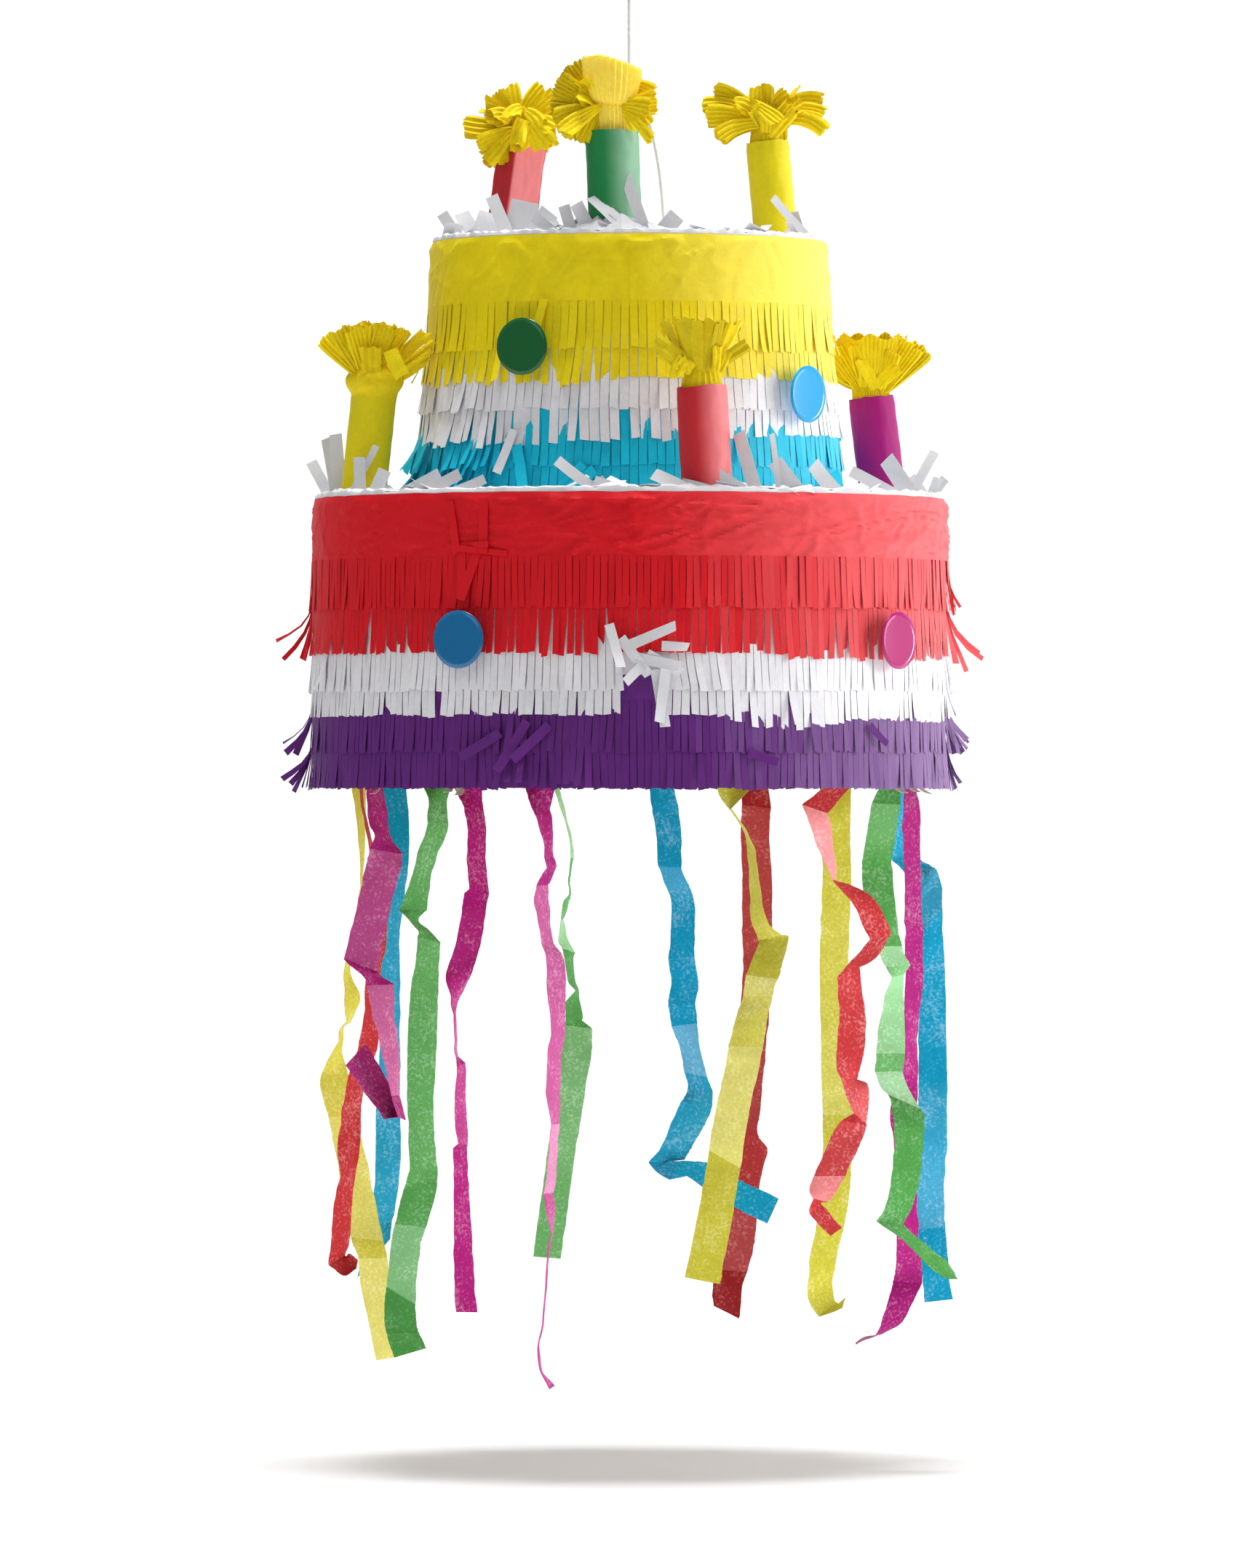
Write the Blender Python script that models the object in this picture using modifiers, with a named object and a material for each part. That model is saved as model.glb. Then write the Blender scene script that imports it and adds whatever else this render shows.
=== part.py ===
"""Hanging birthday-cake pinata: two cardboard tiers under fringed tissue, seven paper candles
with crepe flames, glossy card dots, sixteen hanging paper streamers and a cord to hang it by.

Metres, +Z up, front towards -Y. The origin is the top of the cord's eye, where a hook takes it.
Azimuths are degrees from the front, turning towards +X. Sizes below are in millimetres.
"""
import math

import bmesh
import bpy
from mathutils import Matrix, Vector

MM = 0.001
GAP = 0.3                       # clearance left between pieces that touch

# ---- driving dimensions: heights are measured down from the top of the eye -------------------
UPPER_TOP, UPPER_HEIGHT = 154.0, 134.0
LOWER_TOP, LOWER_HEIGHT = 288.0, 148.0
UPPER_R_TOP, UPPER_R_BOTTOM = 102.5, 111.0
LOWER_R_TOP, LOWER_R_BOTTOM = 164.0, 165.0
CARD = 3.0                      # corrugated card of the tiers
BASE = LOWER_TOP + LOWER_HEIGHT
THROAT_R = 80.0                 # hole between the tiers, for the filling
RING_STEPS = 40

TISSUE = 0.8                    # one row of folded tissue strip
TUCK = 4.0                      # how far a row reaches up behind the row above it
FLARE = 5.6                     # how far a row's cut ends stand off the card

TUBE_R, TUBE_WALL, TUBE_HEIGHT = 13.5, 1.5, 53.0
UPPER_CANDLE_RING, LOWER_CANDLE_RING = 82.0, 143.5
DOT_R, DOT_CARD = 14.7, 1.2
ICING_HEIGHT, ICING_WIDTH = 8.0, 6.5

CORD_R = 1.0
EYE_R = 6.5
EYE_KNOT_DROP = 19.0            # centre of the knot, where the hanging cord bends
EYE_KNOT_R = 3.0
LOOP_KNOT_DROP, LOOP_KNOT_R = 67.0, 4.0
LOOP_LEFT, LOOP_RIGHT = -11.0, 19.0
PAD_SIZE = (48.0, 26.0, 4.0)
FLAP_SIZE = (70.0, 55.0, 2.4)
FLAP_FRONT = 20.0               # distance of the flap's free edge behind the middle

STREAMER_TOP = BASE + 0.8

COLOURS = {
    "white": (0.93, 0.93, 0.91), "yellow": (0.98, 0.80, 0.07), "red": (0.83, 0.05, 0.08),
    "blue": (0.03, 0.28, 0.72), "purple": (0.33, 0.10, 0.52), "magenta": (0.86, 0.05, 0.42),
    "green": (0.05, 0.55, 0.20), "light_blue": (0.16, 0.58, 0.88), "card": (0.62, 0.47, 0.31),
}

# Rows of each tier, top to bottom: name, colour, plain header, lower edge, below the tier's top.
UPPER_ROWS = [
    ("upper_row_1_yellow", "yellow", 34.0, 58.5), ("upper_row_2_yellow", "yellow", 0.0, 73.5),
    ("upper_row_3_white", "white", 0.0, 89.5), ("upper_row_4_white", "white", 0.0, 102.0),
    ("upper_row_5_blue", "blue", 0.0, 118.5), ("upper_row_6_blue", "blue", 0.0, 133.0),
]
LOWER_ROWS = [
    ("lower_row_1_red", "red", 32.0, 58.5), ("lower_row_2_red", "red", 0.0, 81.0),
    ("lower_row_3_white", "white", 0.0, 100.5), ("lower_row_4_white", "white", 0.0, 113.0),
    ("lower_row_5_purple", "purple", 0.0, 132.0), ("lower_row_6_purple", "purple", 0.0, 148.0),
]

# Candles: name, colour, azimuth, ring radius, drop of the deck, lean in degrees, fan or pompom.
CANDLES = [
    ("upper_front", "green", -5.0, UPPER_CANDLE_RING, UPPER_TOP, -2.0, "pompom"),
    ("upper_left", "red", -129.0, UPPER_CANDLE_RING, UPPER_TOP, 8.0, "pompom"),
    ("upper_right", "yellow", 110.0, UPPER_CANDLE_RING, UPPER_TOP, -5.0, "pompom"),
    ("lower_front", "red", 16.0, LOWER_CANDLE_RING, LOWER_TOP, -3.0, "fan"),
    ("lower_left", "yellow", -74.0, LOWER_CANDLE_RING, LOWER_TOP, 6.0, "fan"),
    ("lower_right", "magenta", 111.0, LOWER_CANDLE_RING, LOWER_TOP, -7.0, "fan"),
    ("lower_back", "blue", 196.0, LOWER_CANDLE_RING, LOWER_TOP, 0.0, "fan"),
]

# Flame outlines: radius and height above the tube's rim, from the plug upwards.
FLAME_OUTLINES = {
    "pompom": [(11.6, -9.0), (11.6, -1.0), (10.0, 3.0), (18.0, 8.0), (26.0, 14.0),
               (27.0, 24.0), (21.0, 33.0), (10.0, 37.0)],
    "fan": [(11.6, -9.0), (11.6, -1.0), (7.0, 4.0), (12.0, 10.0), (17.0, 18.0),
            (22.0, 27.0), (21.0, 31.0), (9.0, 29.0)],
}

# Dots: name, colour, azimuth, drop of the middle, distance of the back face from the axis.
DOTS = [
    ("upper_left_dot", "green", -28.5, 211.5, 113.6), ("upper_right_dot", "light_blue", 52.0, 235.0, 115.0),
    ("lower_left_dot", "blue", -30.0, 362.5, 172.0), ("lower_right_dot", "magenta", 52.5, 362.5, 172.0),
]

# Streamers: name, colour, azimuth, width, then the way each one falls, as (to the right,
# back, down) from the hanging line's foot on the base, in millimetres.
STREAMERS = [
    ("streamer_01_blue", "blue", 6, 15.5,
     [(16, -149, 0), (22, -146, 43), (27, -140, 90), (30, -136, 128), (34, -126, 160), (28, -110, 178),
      (32, -99, 199), (52, -95, 209), (74, -93, 219)]),
    ("streamer_02_yellow", "yellow", 22, 17.0,
     [(55, -139, 0), (58, -139, 25), (66, -139, 62), (70, -139, 88), (62, -139, 120), (52, -139, 165),
      (43, -139, 221), (37, -139, 262)]),
    ("streamer_03_red", "red", 45.5, 17.0,
     [(105, -105, 0), (101, -105, 30), (113, -104, 56), (126, -103, 75), (115, -103, 98), (113, -103, 130),
      (117, -102, 165), (102, -101, 200), (103, -100, 228)]),
    ("streamer_04_green", "green", 66, 16.0,
     [(134, -61, 0), (128, -61, 45), (136, -61, 84), (137, -61, 110), (135, -62, 148), (143, -62, 175),
      (143, -62, 205), (140, -62, 226), (154, -62, 242), (166, -62, 254)]),
    ("streamer_05_magenta", "magenta", 88, 14.5,
     [(147, -5, 0), (148, -4, 50), (148, -2, 100), (145, 0, 157), (145, 2, 214), (144, 4, 258),
      (132, 5, 286)]),
    ("streamer_06_blue", "blue", 107, 15.5,
     [(143, 43, 0), (143, 45, 30), (152, 46, 50), (159, 47, 75), (160, 51, 135), (160, 56, 207),
      (163, 60, 273)]),
    ("streamer_07_yellow", "yellow", 133, 15.5,
     [(110, 102, 0), (110, 102, 60), (109, 103, 139), (109, 103, 206), (103, 104, 255), (101, 104, 280)]),
    ("streamer_08_red", "red", 154, 16.5,
     [(67, 135, 0), (69, 133, 83), (64, 131, 152), (64, 130, 205), (58, 129, 246), (52, 128, 283)]),
    ("streamer_09_green", "green", 195, 17.0,
     [(-39, 145, 0), (-31, 144, 32), (-35, 144, 73), (-28, 143, 110), (-28, 142, 151), (-34, 141, 200),
      (-44, 140, 254)]),
    ("streamer_10_magenta", "magenta", 214, 15.5,
     [(-85, 124, 0), (-82, 123, 55), (-91, 123, 100), (-92, 122, 135), (-90, 121, 193), (-87, 120, 282)]),
    ("streamer_11_blue", "blue", 235, 14.0,
     [(-124, 86, 0), (-123, 86, 58), (-125, 85, 124), (-129, 84, 190), (-129, 84, 240)]),
    ("streamer_12_yellow", "yellow", 250.5, 16.0,
     [(-142, 50, 0), (-141, 50, 45), (-147, 51, 115), (-155, 51, 151), (-149, 51, 190), (-135, 52, 249),
      (-126, 52, 303)]),
    ("streamer_13_red", "red", 280, 14.5,
     [(-138, -24, 0), (-130, -23, 65), (-135, -22, 115), (-144, -21, 165), (-150, -20, 225), (-147, -20, 255)]),
    ("streamer_14_magenta", "magenta", 298, 17.0,
     [(-131, -70, 0), (-126, -71, 33), (-134, -73, 80), (-128, -74, 108), (-122, -76, 145), (-123, -77, 169)]),
    ("streamer_15_green", "green", 318, 17.0,
     [(-99, -111, 0), (-99, -111, 25), (-110, -111, 62), (-104, -111, 90), (-106, -111, 150),
      (-108, -111, 205), (-116, -111, 260), (-113, -111, 289)]),
    ("streamer_16_magenta", "magenta", 342, 15.5,
     [(-44, -142, 0), (-40, -142, 30), (-43, -141, 62), (-37, -141, 105), (-38, -140, 160), (-41, -139, 212),
      (-42, -139, 262), (-43, -138, 305)]),
]


def collection(name):
    """A collection linked to the scene."""
    made = bpy.data.collections.new(name)
    bpy.context.scene.collection.children.link(made)
    return made


def clear_scene():
    for obj in list(bpy.data.objects):
        bpy.data.objects.remove(obj, do_unlink=True)


def paint(obj, label, colour, roughness=0.85):
    """Give the object a material of its own."""
    mat = bpy.data.materials.new(label)
    mat.use_nodes = True
    shader = mat.node_tree.nodes["Principled BSDF"]
    shader.inputs["Base Color"].default_value = (*COLOURS[colour], 1.0)
    shader.inputs["Roughness"].default_value = roughness
    shader.inputs["Metallic"].default_value = 0.0
    obj.data.materials.clear()
    obj.data.materials.append(mat)


def file_in(obj, target):
    """Move an object into one collection only."""
    for holder in list(obj.users_collection):
        holder.objects.unlink(obj)
    target.objects.link(obj)


def outward(azimuth):
    """Unit vector that points out from the axis at an azimuth."""
    angle = math.radians(azimuth)
    return Vector((math.sin(angle), -math.cos(angle), 0.0))


def from_bmesh(name, bm, target):
    mesh = bpy.data.meshes.new(name)
    bm.to_mesh(mesh)
    bm.free()
    obj = bpy.data.objects.new(name, mesh)
    target.objects.link(obj)
    return obj


def turned(name, profile, target, steps=RING_STEPS, closed=True):
    """A Screw-modified profile of (radius, height) points in millimetres, outer side downwards."""
    bm = bmesh.new()
    verts = [bm.verts.new((r * MM, 0.0, z * MM)) for r, z in profile]
    pairs = list(zip(verts, verts[1:]))
    if closed:
        pairs.append((verts[-1], verts[0]))
    for pair in pairs:
        bm.edges.new(pair)
    obj = from_bmesh(name, bm, target)
    screw = obj.modifiers.new("Turn", "SCREW")
    screw.axis = "Z"
    screw.angle = math.tau
    screw.steps = steps
    screw.render_steps = steps
    screw.use_merge_vertices = True
    screw.merge_threshold = 0.00001
    screw.use_normal_calculate = False
    screw.use_smooth_shade = False
    return obj


def box(name, size, centre, target):
    bpy.ops.mesh.primitive_cube_add(size=1.0, location=[c * MM for c in centre])
    obj = bpy.context.object
    obj.name = name
    obj.data.name = name
    obj.data.transform(Matrix.Diagonal([s * MM for s in size] + [1.0]))
    file_in(obj, target)
    return obj


def rod(name, radius, length, centre, target, sides=16):
    bpy.ops.mesh.primitive_cylinder_add(
        vertices=sides, radius=radius * MM, depth=length * MM, location=[c * MM for c in centre])
    obj = bpy.context.object
    obj.name = name
    obj.data.name = name
    file_in(obj, target)
    return obj


def cut(obj, cutter):
    cutter.hide_render = True
    cutter.display_type = "WIRE"
    boolean = obj.modifiers.new("Cut " + cutter.name, "BOOLEAN")
    boolean.operation = "DIFFERENCE"
    boolean.solver = "EXACT"
    boolean.object = cutter


def smooth_route(points, pieces):
    """Points along a Catmull-Rom curve through the route, with that many pieces a span."""
    padded = [2 * points[0] - points[1]] + list(points) + [2 * points[-1] - points[-2]]
    route = []
    for a, b, c, d in zip(padded, padded[1:], padded[2:], padded[3:]):
        for step in range(pieces):
            t = step / pieces
            route.append(0.5 * (2 * b + (c - a) * t + (2 * a - 5 * b + 4 * c - d) * t * t
                                + (3 * b - a - 3 * c + d) * t ** 3))
    route.append(points[-1].copy())
    return route


def cord(name, route, target, radius=CORD_R):
    """A tube along a list of points in millimetres, as a welded mesh."""
    curve = bpy.data.curves.new(name, "CURVE")
    curve.dimensions = "3D"
    curve.bevel_depth = radius * MM
    curve.bevel_resolution = 2
    curve.use_fill_caps = True
    spline = curve.splines.new("POLY")
    spline.points.add(len(route) - 1)
    for point, place in zip(spline.points, route):
        point.co = (place.x * MM, place.y * MM, place.z * MM, 1.0)
    holder = bpy.data.objects.new(name + "_curve", curve)
    target.objects.link(holder)
    seen = holder.evaluated_get(bpy.context.evaluated_depsgraph_get())
    mesh = bpy.data.meshes.new_from_object(seen)
    mesh.name = name
    bpy.data.objects.remove(holder, do_unlink=True)
    bm = bmesh.new()
    bm.from_mesh(mesh)
    bmesh.ops.remove_doubles(bm, verts=bm.verts, dist=0.00001)
    bmesh.ops.recalc_face_normals(bm, faces=bm.faces)
    bm.to_mesh(mesh)
    bm.free()
    obj = bpy.data.objects.new(name, mesh)
    target.objects.link(obj)
    return obj


def knot(name, radius, centre, stretch, target):
    """A pulled-tight knot, as a small rounded lump."""
    bpy.ops.mesh.primitive_uv_sphere_add(
        segments=12, ring_count=8, radius=radius * MM, location=[c * MM for c in centre])
    obj = bpy.context.object
    obj.name = name
    obj.data.name = name
    obj.data.transform(Matrix.Diagonal([*stretch, 1.0]))
    file_in(obj, target)
    return obj


# ---- cardboard body ----------------------------------------------------------------------------
def upper_radius(drop):
    """Outer radius of the upper tier's card, at a distance below the tier's top."""
    return UPPER_R_TOP + (UPPER_R_BOTTOM - UPPER_R_TOP) * drop / UPPER_HEIGHT


def lower_radius(drop):
    return LOWER_R_TOP + (LOWER_R_BOTTOM - LOWER_R_TOP) * drop / LOWER_HEIGHT


def wall(name, radius_at, tier_top, top, bottom, target):
    """A tier's conical side, between two distances below the tier's top."""
    return turned(name, [
        (radius_at(top), -(tier_top + top)), (radius_at(bottom), -(tier_top + bottom)),
        (radius_at(bottom) - CARD, -(tier_top + bottom)), (radius_at(top) - CARD, -(tier_top + top)),
    ], target)


def disc(name, radius, top, target):
    return turned(name, [(0.0, -top), (radius, -top), (radius, -top - CARD), (0.0, -top - CARD)],
                  target, closed=False)


def build_body(parts, cutters):
    base = disc("base_disc", LOWER_R_BOTTOM, BASE - CARD, parts)
    lower_wall = wall("lower_wall", lower_radius, LOWER_TOP, CARD + GAP, LOWER_HEIGHT - CARD - GAP, parts)
    lower_deck = turned("lower_deck", [
        (LOWER_R_TOP, -LOWER_TOP), (LOWER_R_TOP, -LOWER_TOP - CARD),
        (THROAT_R, -LOWER_TOP - CARD), (THROAT_R, -LOWER_TOP),
    ], parts)
    upper_wall = wall("upper_wall", upper_radius, UPPER_TOP, CARD + GAP, UPPER_HEIGHT - GAP, parts)
    upper_deck = disc("upper_deck", UPPER_R_TOP, UPPER_TOP, parts)
    pad = box("cord_pad", PAD_SIZE, ((LOOP_LEFT + LOOP_RIGHT) / 2, 0.0,
                                     -(UPPER_TOP + CARD + GAP + PAD_SIZE[2] / 2)), parts)
    for side, place in (("left", LOOP_LEFT), ("right", LOOP_RIGHT)):
        hole = rod("cord_hole_" + side, CORD_R + GAP, 40.0, (place, 0.0, -UPPER_TOP), cutters)
        cut(upper_deck, hole)
        cut(pad, hole)
    width, length, thick = FLAP_SIZE
    mouth = box("fill_mouth", (width + 2 * GAP, length + 2 * GAP, 20.0),
                (0.0, FLAP_FRONT + length / 2, -UPPER_TOP), cutters)
    cut(upper_deck, mouth)
    flap = box("fill_flap", FLAP_SIZE, (0.0, FLAP_FRONT + length / 2, -UPPER_TOP - thick / 2), parts)
    for obj in (base, lower_wall, lower_deck, upper_wall, upper_deck, pad, flap):
        paint(obj, obj.name + "_card", "card", 0.9)


# ---- cord --------------------------------------------------------------------------------------
def build_cord(parts, cutters):
    eye_middle = -(EYE_R + CORD_R)
    bpy.ops.mesh.primitive_torus_add(
        major_radius=EYE_R * MM, minor_radius=CORD_R * MM, major_segments=24, minor_segments=8,
        location=(0.0, 0.0, eye_middle * MM), rotation=(math.pi / 2, 0.0, 0.0))
    eye = bpy.context.object
    eye.name = "top_eye"
    eye.data.name = "top_eye"
    file_in(eye, parts)

    eye_knot = knot("eye_knot", EYE_KNOT_R, (0.0, 0.0, -EYE_KNOT_DROP), (1.0, 1.0, 1.0), parts)

    start = -(EYE_KNOT_DROP + EYE_KNOT_R + GAP)
    end = -(LOOP_KNOT_DROP - LOOP_KNOT_R - GAP)
    line = cord("hanging_line", [Vector((0, 0, start + (end - start) * i / 8)) for i in range(9)], parts)

    foot = -(UPPER_TOP + CARD + GAP + PAD_SIZE[2])
    route = smooth_route([
        Vector((LOOP_LEFT, 0, foot)), Vector((LOOP_LEFT, 0, -UPPER_TOP)), Vector((LOOP_LEFT - 0.5, 0, -118)),
        Vector((LOOP_LEFT + 2, 0, -92)), Vector((-4, 0, -76)), Vector((0, 0, -LOOP_KNOT_DROP - 2)),
        Vector((5, 0, -76)), Vector((11, 0, -92)), Vector((LOOP_RIGHT - 3, 0, -118)),
        Vector((LOOP_RIGHT, 0, -UPPER_TOP)), Vector((LOOP_RIGHT, 0, foot)),
    ], 4)
    loop = cord("hanging_loop", route, parts)
    lump = knot("loop_knot_core", LOOP_KNOT_R, (0.0, 0.0, -LOOP_KNOT_DROP), (1.0, 1.0, 1.0), cutters)
    lump.hide_render = True
    lump.display_type = "WIRE"
    join = loop.modifiers.new("Knot", "BOOLEAN")
    join.operation = "UNION"
    join.solver = "EXACT"
    join.object = lump

    stopper = knot("stopper_knot", 4.0, ((LOOP_LEFT + LOOP_RIGHT) / 2, 0.0, foot - GAP - 4.0),
                   (4.8, 1.0, 1.0), parts)
    for obj in (eye, eye_knot, line, loop, stopper):
        paint(obj, obj.name + "_cotton", "white", 0.8)


# ---- candles -----------------------------------------------------------------------------------
def flame(name, outline, lobes, target):
    """A tied bunch of crepe paper: a globe remapped onto the outline, rippled into pleats."""
    rings = len(outline) + 1
    bm = bmesh.new()
    bmesh.ops.create_uvsphere(bm, u_segments=16, v_segments=rings, radius=1.0)
    for vert in bm.verts:
        turn = math.atan2(vert.co.y, vert.co.x)
        level = round((1.0 - math.acos(max(-1.0, min(1.0, vert.co.z))) / math.pi) * rings)
        if level == 0:
            vert.co = (0.0, 0.0, outline[0][1] * MM)
        elif level == rings:
            vert.co = (0.0, 0.0, (outline[-1][1] + 1.0) * MM)
        else:
            radius, height = outline[level - 1]
            open_part = max(0.0, min(1.0, (height - 4.0) / 12.0))
            radius *= 1.0 + 0.13 * open_part * math.cos(lobes * turn)
            height += 1.5 * open_part * math.sin(2.0 * turn)
            vert.co = (radius * math.cos(turn) * MM, radius * math.sin(turn) * MM, height * MM)
    return from_bmesh(name, bm, target)


def build_candles(parts):
    for place, colour, azimuth, ring, deck, lean, style in CANDLES:
        spot = outward(azimuth) * ring
        tube = turned("candle_tube_" + place, [
            (TUBE_R, TUBE_HEIGHT), (TUBE_R, 0.0), (TUBE_R - TUBE_WALL, 0.0), (TUBE_R - TUBE_WALL, TUBE_HEIGHT),
        ], parts, steps=20)
        top = flame("candle_flame_" + place, FLAME_OUTLINES[style], 5, parts)
        lift = GAP + TUBE_R * math.sin(math.radians(abs(lean)))
        tube.location = (spot.x * MM, spot.y * MM, (lift - deck) * MM)
        tube.rotation_euler = (0.0, math.radians(lean), 0.0)
        top.parent = tube
        top.location = (0.0, 0.0, TUBE_HEIGHT * MM)
        paint(tube, tube.name + "_paper", colour, 0.75)
        paint(top, top.name + "_crepe", "yellow", 0.85)


# ---- tissue ------------------------------------------------------------------------------------
def build_rows(rows, radius_at, tier_top, parts):
    """Strips of tissue round a tier, each one's head tucked behind the cut ends above it."""
    above = TUCK
    for name, colour, header, bottom in rows:
        top = above - TUCK
        marks = [(top, 0.0)] + ([(header, 0.7)] if header else []) + [(bottom, FLARE)]
        inner = [(radius_at(drop) + GAP + stand, -(tier_top + drop)) for drop, stand in marks]
        outer = [(r + TISSUE, z) for r, z in inner]
        row = turned(name, outer + inner[::-1], parts)
        paint(row, name + "_tissue", colour, 0.9)
        above = bottom


def build_icing(parts):
    for name, radius, top in (("upper_icing", UPPER_R_TOP, UPPER_TOP), ("lower_icing", LOWER_R_TOP, LOWER_TOP)):
        outer = radius + ICING_WIDTH - 0.8
        inner = radius - 1.0
        ring = turned(name, [
            (outer - 2.0, -top + ICING_HEIGHT), (outer, -top + GAP), (inner, -top + GAP),
            (inner + 0.8, -top + ICING_HEIGHT),
        ], parts)
        paint(ring, name + "_tissue", "white", 0.95)


def build_dots(parts):
    for name, colour, azimuth, drop, distance in DOTS:
        dot = rod(name, DOT_R, DOT_CARD, (0.0, 0.0, 0.0), parts, sides=28)
        away = outward(azimuth)
        dot.rotation_euler = away.to_track_quat("Z", "Y").to_euler()
        dot.location = (away * (distance + DOT_CARD / 2) + Vector((0.0, 0.0, -drop))) * MM
        paint(dot, name + "_gloss", colour, 0.15)


# ---- streamers ---------------------------------------------------------------------------------
def streamer(name, azimuth, width, points, target):
    """A paper strip: a one-wide grid laid along its route, thickened by Solidify."""
    hinge = Vector((points[0][0], points[0][1], -STREAMER_TOP))
    route = smooth_route([Vector((x, y, -(STREAMER_TOP + down))) for x, y, down in points], 2)
    facing = outward(azimuth)
    bm = bmesh.new()
    bmesh.ops.create_grid(bm, x_segments=1, y_segments=len(route) - 1, size=1.0)
    for vert in bm.verts:
        station = round((1.0 - vert.co.y) / 2.0 * (len(route) - 1))
        side = 1.0 if vert.co.x > 0 else -1.0
        before = route[max(station - 1, 0)]
        after = route[min(station + 1, len(route) - 1)]
        across = (after - before).cross(facing).normalized()
        if station == 0:
            across = Vector((0.0, 0.0, -1.0)).cross(facing).normalized()
        vert.co = (route[station] + across * side * width / 2 - hinge) * MM
    obj = from_bmesh(name, bm, target)
    obj.location = hinge * MM
    solid = obj.modifiers.new("Paper", "SOLIDIFY")
    solid.thickness = TISSUE * MM
    solid.offset = 0.0
    return obj


def build_streamers(parts):
    for name, colour, azimuth, width, points in STREAMERS:
        strip = streamer(name, azimuth, width, points, parts)
        paint(strip, name + "_paper", colour, 0.85)


def main():
    clear_scene()
    parts = collection("pinata")
    cutters = collection("pinata_cutters")
    build_body(parts, cutters)
    build_cord(parts, cutters)
    build_candles(parts)
    build_rows(UPPER_ROWS, upper_radius, UPPER_TOP, parts)
    build_rows(LOWER_ROWS, lower_radius, LOWER_TOP, parts)
    build_icing(parts)
    build_dots(parts)
    build_streamers(parts)


main()
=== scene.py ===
import math
import random

import bmesh
import bpy
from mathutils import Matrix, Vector, noise


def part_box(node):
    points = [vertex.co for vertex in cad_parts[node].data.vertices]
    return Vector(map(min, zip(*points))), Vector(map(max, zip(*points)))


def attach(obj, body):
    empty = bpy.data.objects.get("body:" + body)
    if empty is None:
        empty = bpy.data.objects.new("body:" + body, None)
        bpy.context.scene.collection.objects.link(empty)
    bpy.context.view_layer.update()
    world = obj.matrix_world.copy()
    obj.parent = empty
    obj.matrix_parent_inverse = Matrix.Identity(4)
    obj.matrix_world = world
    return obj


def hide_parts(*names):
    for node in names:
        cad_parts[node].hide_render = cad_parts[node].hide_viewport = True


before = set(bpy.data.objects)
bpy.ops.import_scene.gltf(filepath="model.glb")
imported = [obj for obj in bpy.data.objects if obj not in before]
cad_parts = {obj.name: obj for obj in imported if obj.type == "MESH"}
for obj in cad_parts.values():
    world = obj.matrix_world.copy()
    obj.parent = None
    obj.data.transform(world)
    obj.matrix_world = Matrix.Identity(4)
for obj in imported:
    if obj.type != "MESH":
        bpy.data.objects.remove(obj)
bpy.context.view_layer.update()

# A hanging birthday-cake pinata in fringed tissue. Metres, +Z up, front towards -Y; azimuths are
# degrees from the front, turning towards +X. Lengths marked mm are multiplied by MM.
MM = 0.001
DOWN = Vector((0.0, 0.0, -1.0))
UP = Vector((0.0, 0.0, 1.0))

# ---- places taken from the frame ---------------------------------------------------------------
LOW, HIGH = 0, 1


def half_width(node):
    """Half of a round node's extent along X."""
    low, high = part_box(node)
    return (high[0] - low[0]) / 2


def top_of(node):
    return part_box(node)[HIGH][2]


def bottom_of(node):
    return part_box(node)[LOW][2]


def middle_of(node):
    low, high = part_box(node)
    return (Vector(low) + Vector(high)) / 2


def plan_middle(node):
    """The middle of a node seen from above, at height 0."""
    low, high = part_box(node)
    return Vector(((low[0] + high[0]) / 2, (low[1] + high[1]) / 2, 0.0))


class Tier:
    """A conical tier of card: its radii and heights."""

    def __init__(self, deck, foot_radius, foot):
        self.top, self.bottom = top_of(deck), foot
        self.r_top, self.r_bottom = half_width(deck), foot_radius

    def radius(self, z):
        share = (self.top - z) / (self.top - self.bottom)
        return self.r_top + (self.r_bottom - self.r_top) * share


UPPER = Tier("upper_deck", half_width("upper_wall"), top_of("lower_deck"))
LOWER = Tier("lower_deck", half_width("base_disc"), bottom_of("base_disc"))
TIERS = {"upper": UPPER, "lower": LOWER}

# ---- colours -----------------------------------------------------------------------------------
COLOURS = {
    "white": (0.84, 0.83, 0.86), "yellow": (0.90, 0.72, 0.004), "red": (0.72, 0.006, 0.014),
    "blue": (0.006, 0.54, 0.76), "purple": (0.125, 0.020, 0.20), "card": (0.42, 0.28, 0.16),
    # shreds is the white tissue of the decks, rims and scraps, painted darker than white as shade against the
    # strong light from above
    "crepe": (1.0, 0.76, 0.004), "cotton": (0.95, 0.94, 0.92), "shreds": (0.74, 0.74, 0.77),
    "paper_yellow": (0.74, 0.68, 0.06), "paper_red": (0.60, 0.03, 0.035), "paper_blue": (0.002, 0.37, 0.62),
    "paper_green": (0.10, 0.41, 0.085), "paper_magenta": (0.50, 0.008, 0.23),
    "tube_green": (0.012, 0.26, 0.07), "tube_red": (0.66, 0.022, 0.032), "tube_yellow": (0.92, 0.77, 0.003),
    "tube_magenta": (0.42, 0.004, 0.19), "tube_blue": (0.004, 0.25, 0.55), "dot_green": (0.0, 0.115, 0.022),
    "dot_light_blue": (0.01, 0.40, 0.80), "dot_blue": (0.0, 0.145, 0.36),
    "dot_magenta": (0.48, 0.008, 0.17),
}


# ---- materials ---------------------------------------------------------------------------------
# A tone above 1 is a painted highlight: the colour is mixed towards this pale colour.
PAINTED_HIGHLIGHT_PAPER = (0.90, 0.89, 0.91, 1.0)
PALENESS = 0.6                              # how far towards it a tone of 2 goes
RAMP_DARK, RAMP_BASE, RAMP_PALE = 0.40, 0.52, 0.64      # noise values that get those colours


def link(tree, source, output, target, field):
    tree.links.new(source.outputs[output], target.inputs[field])


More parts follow.
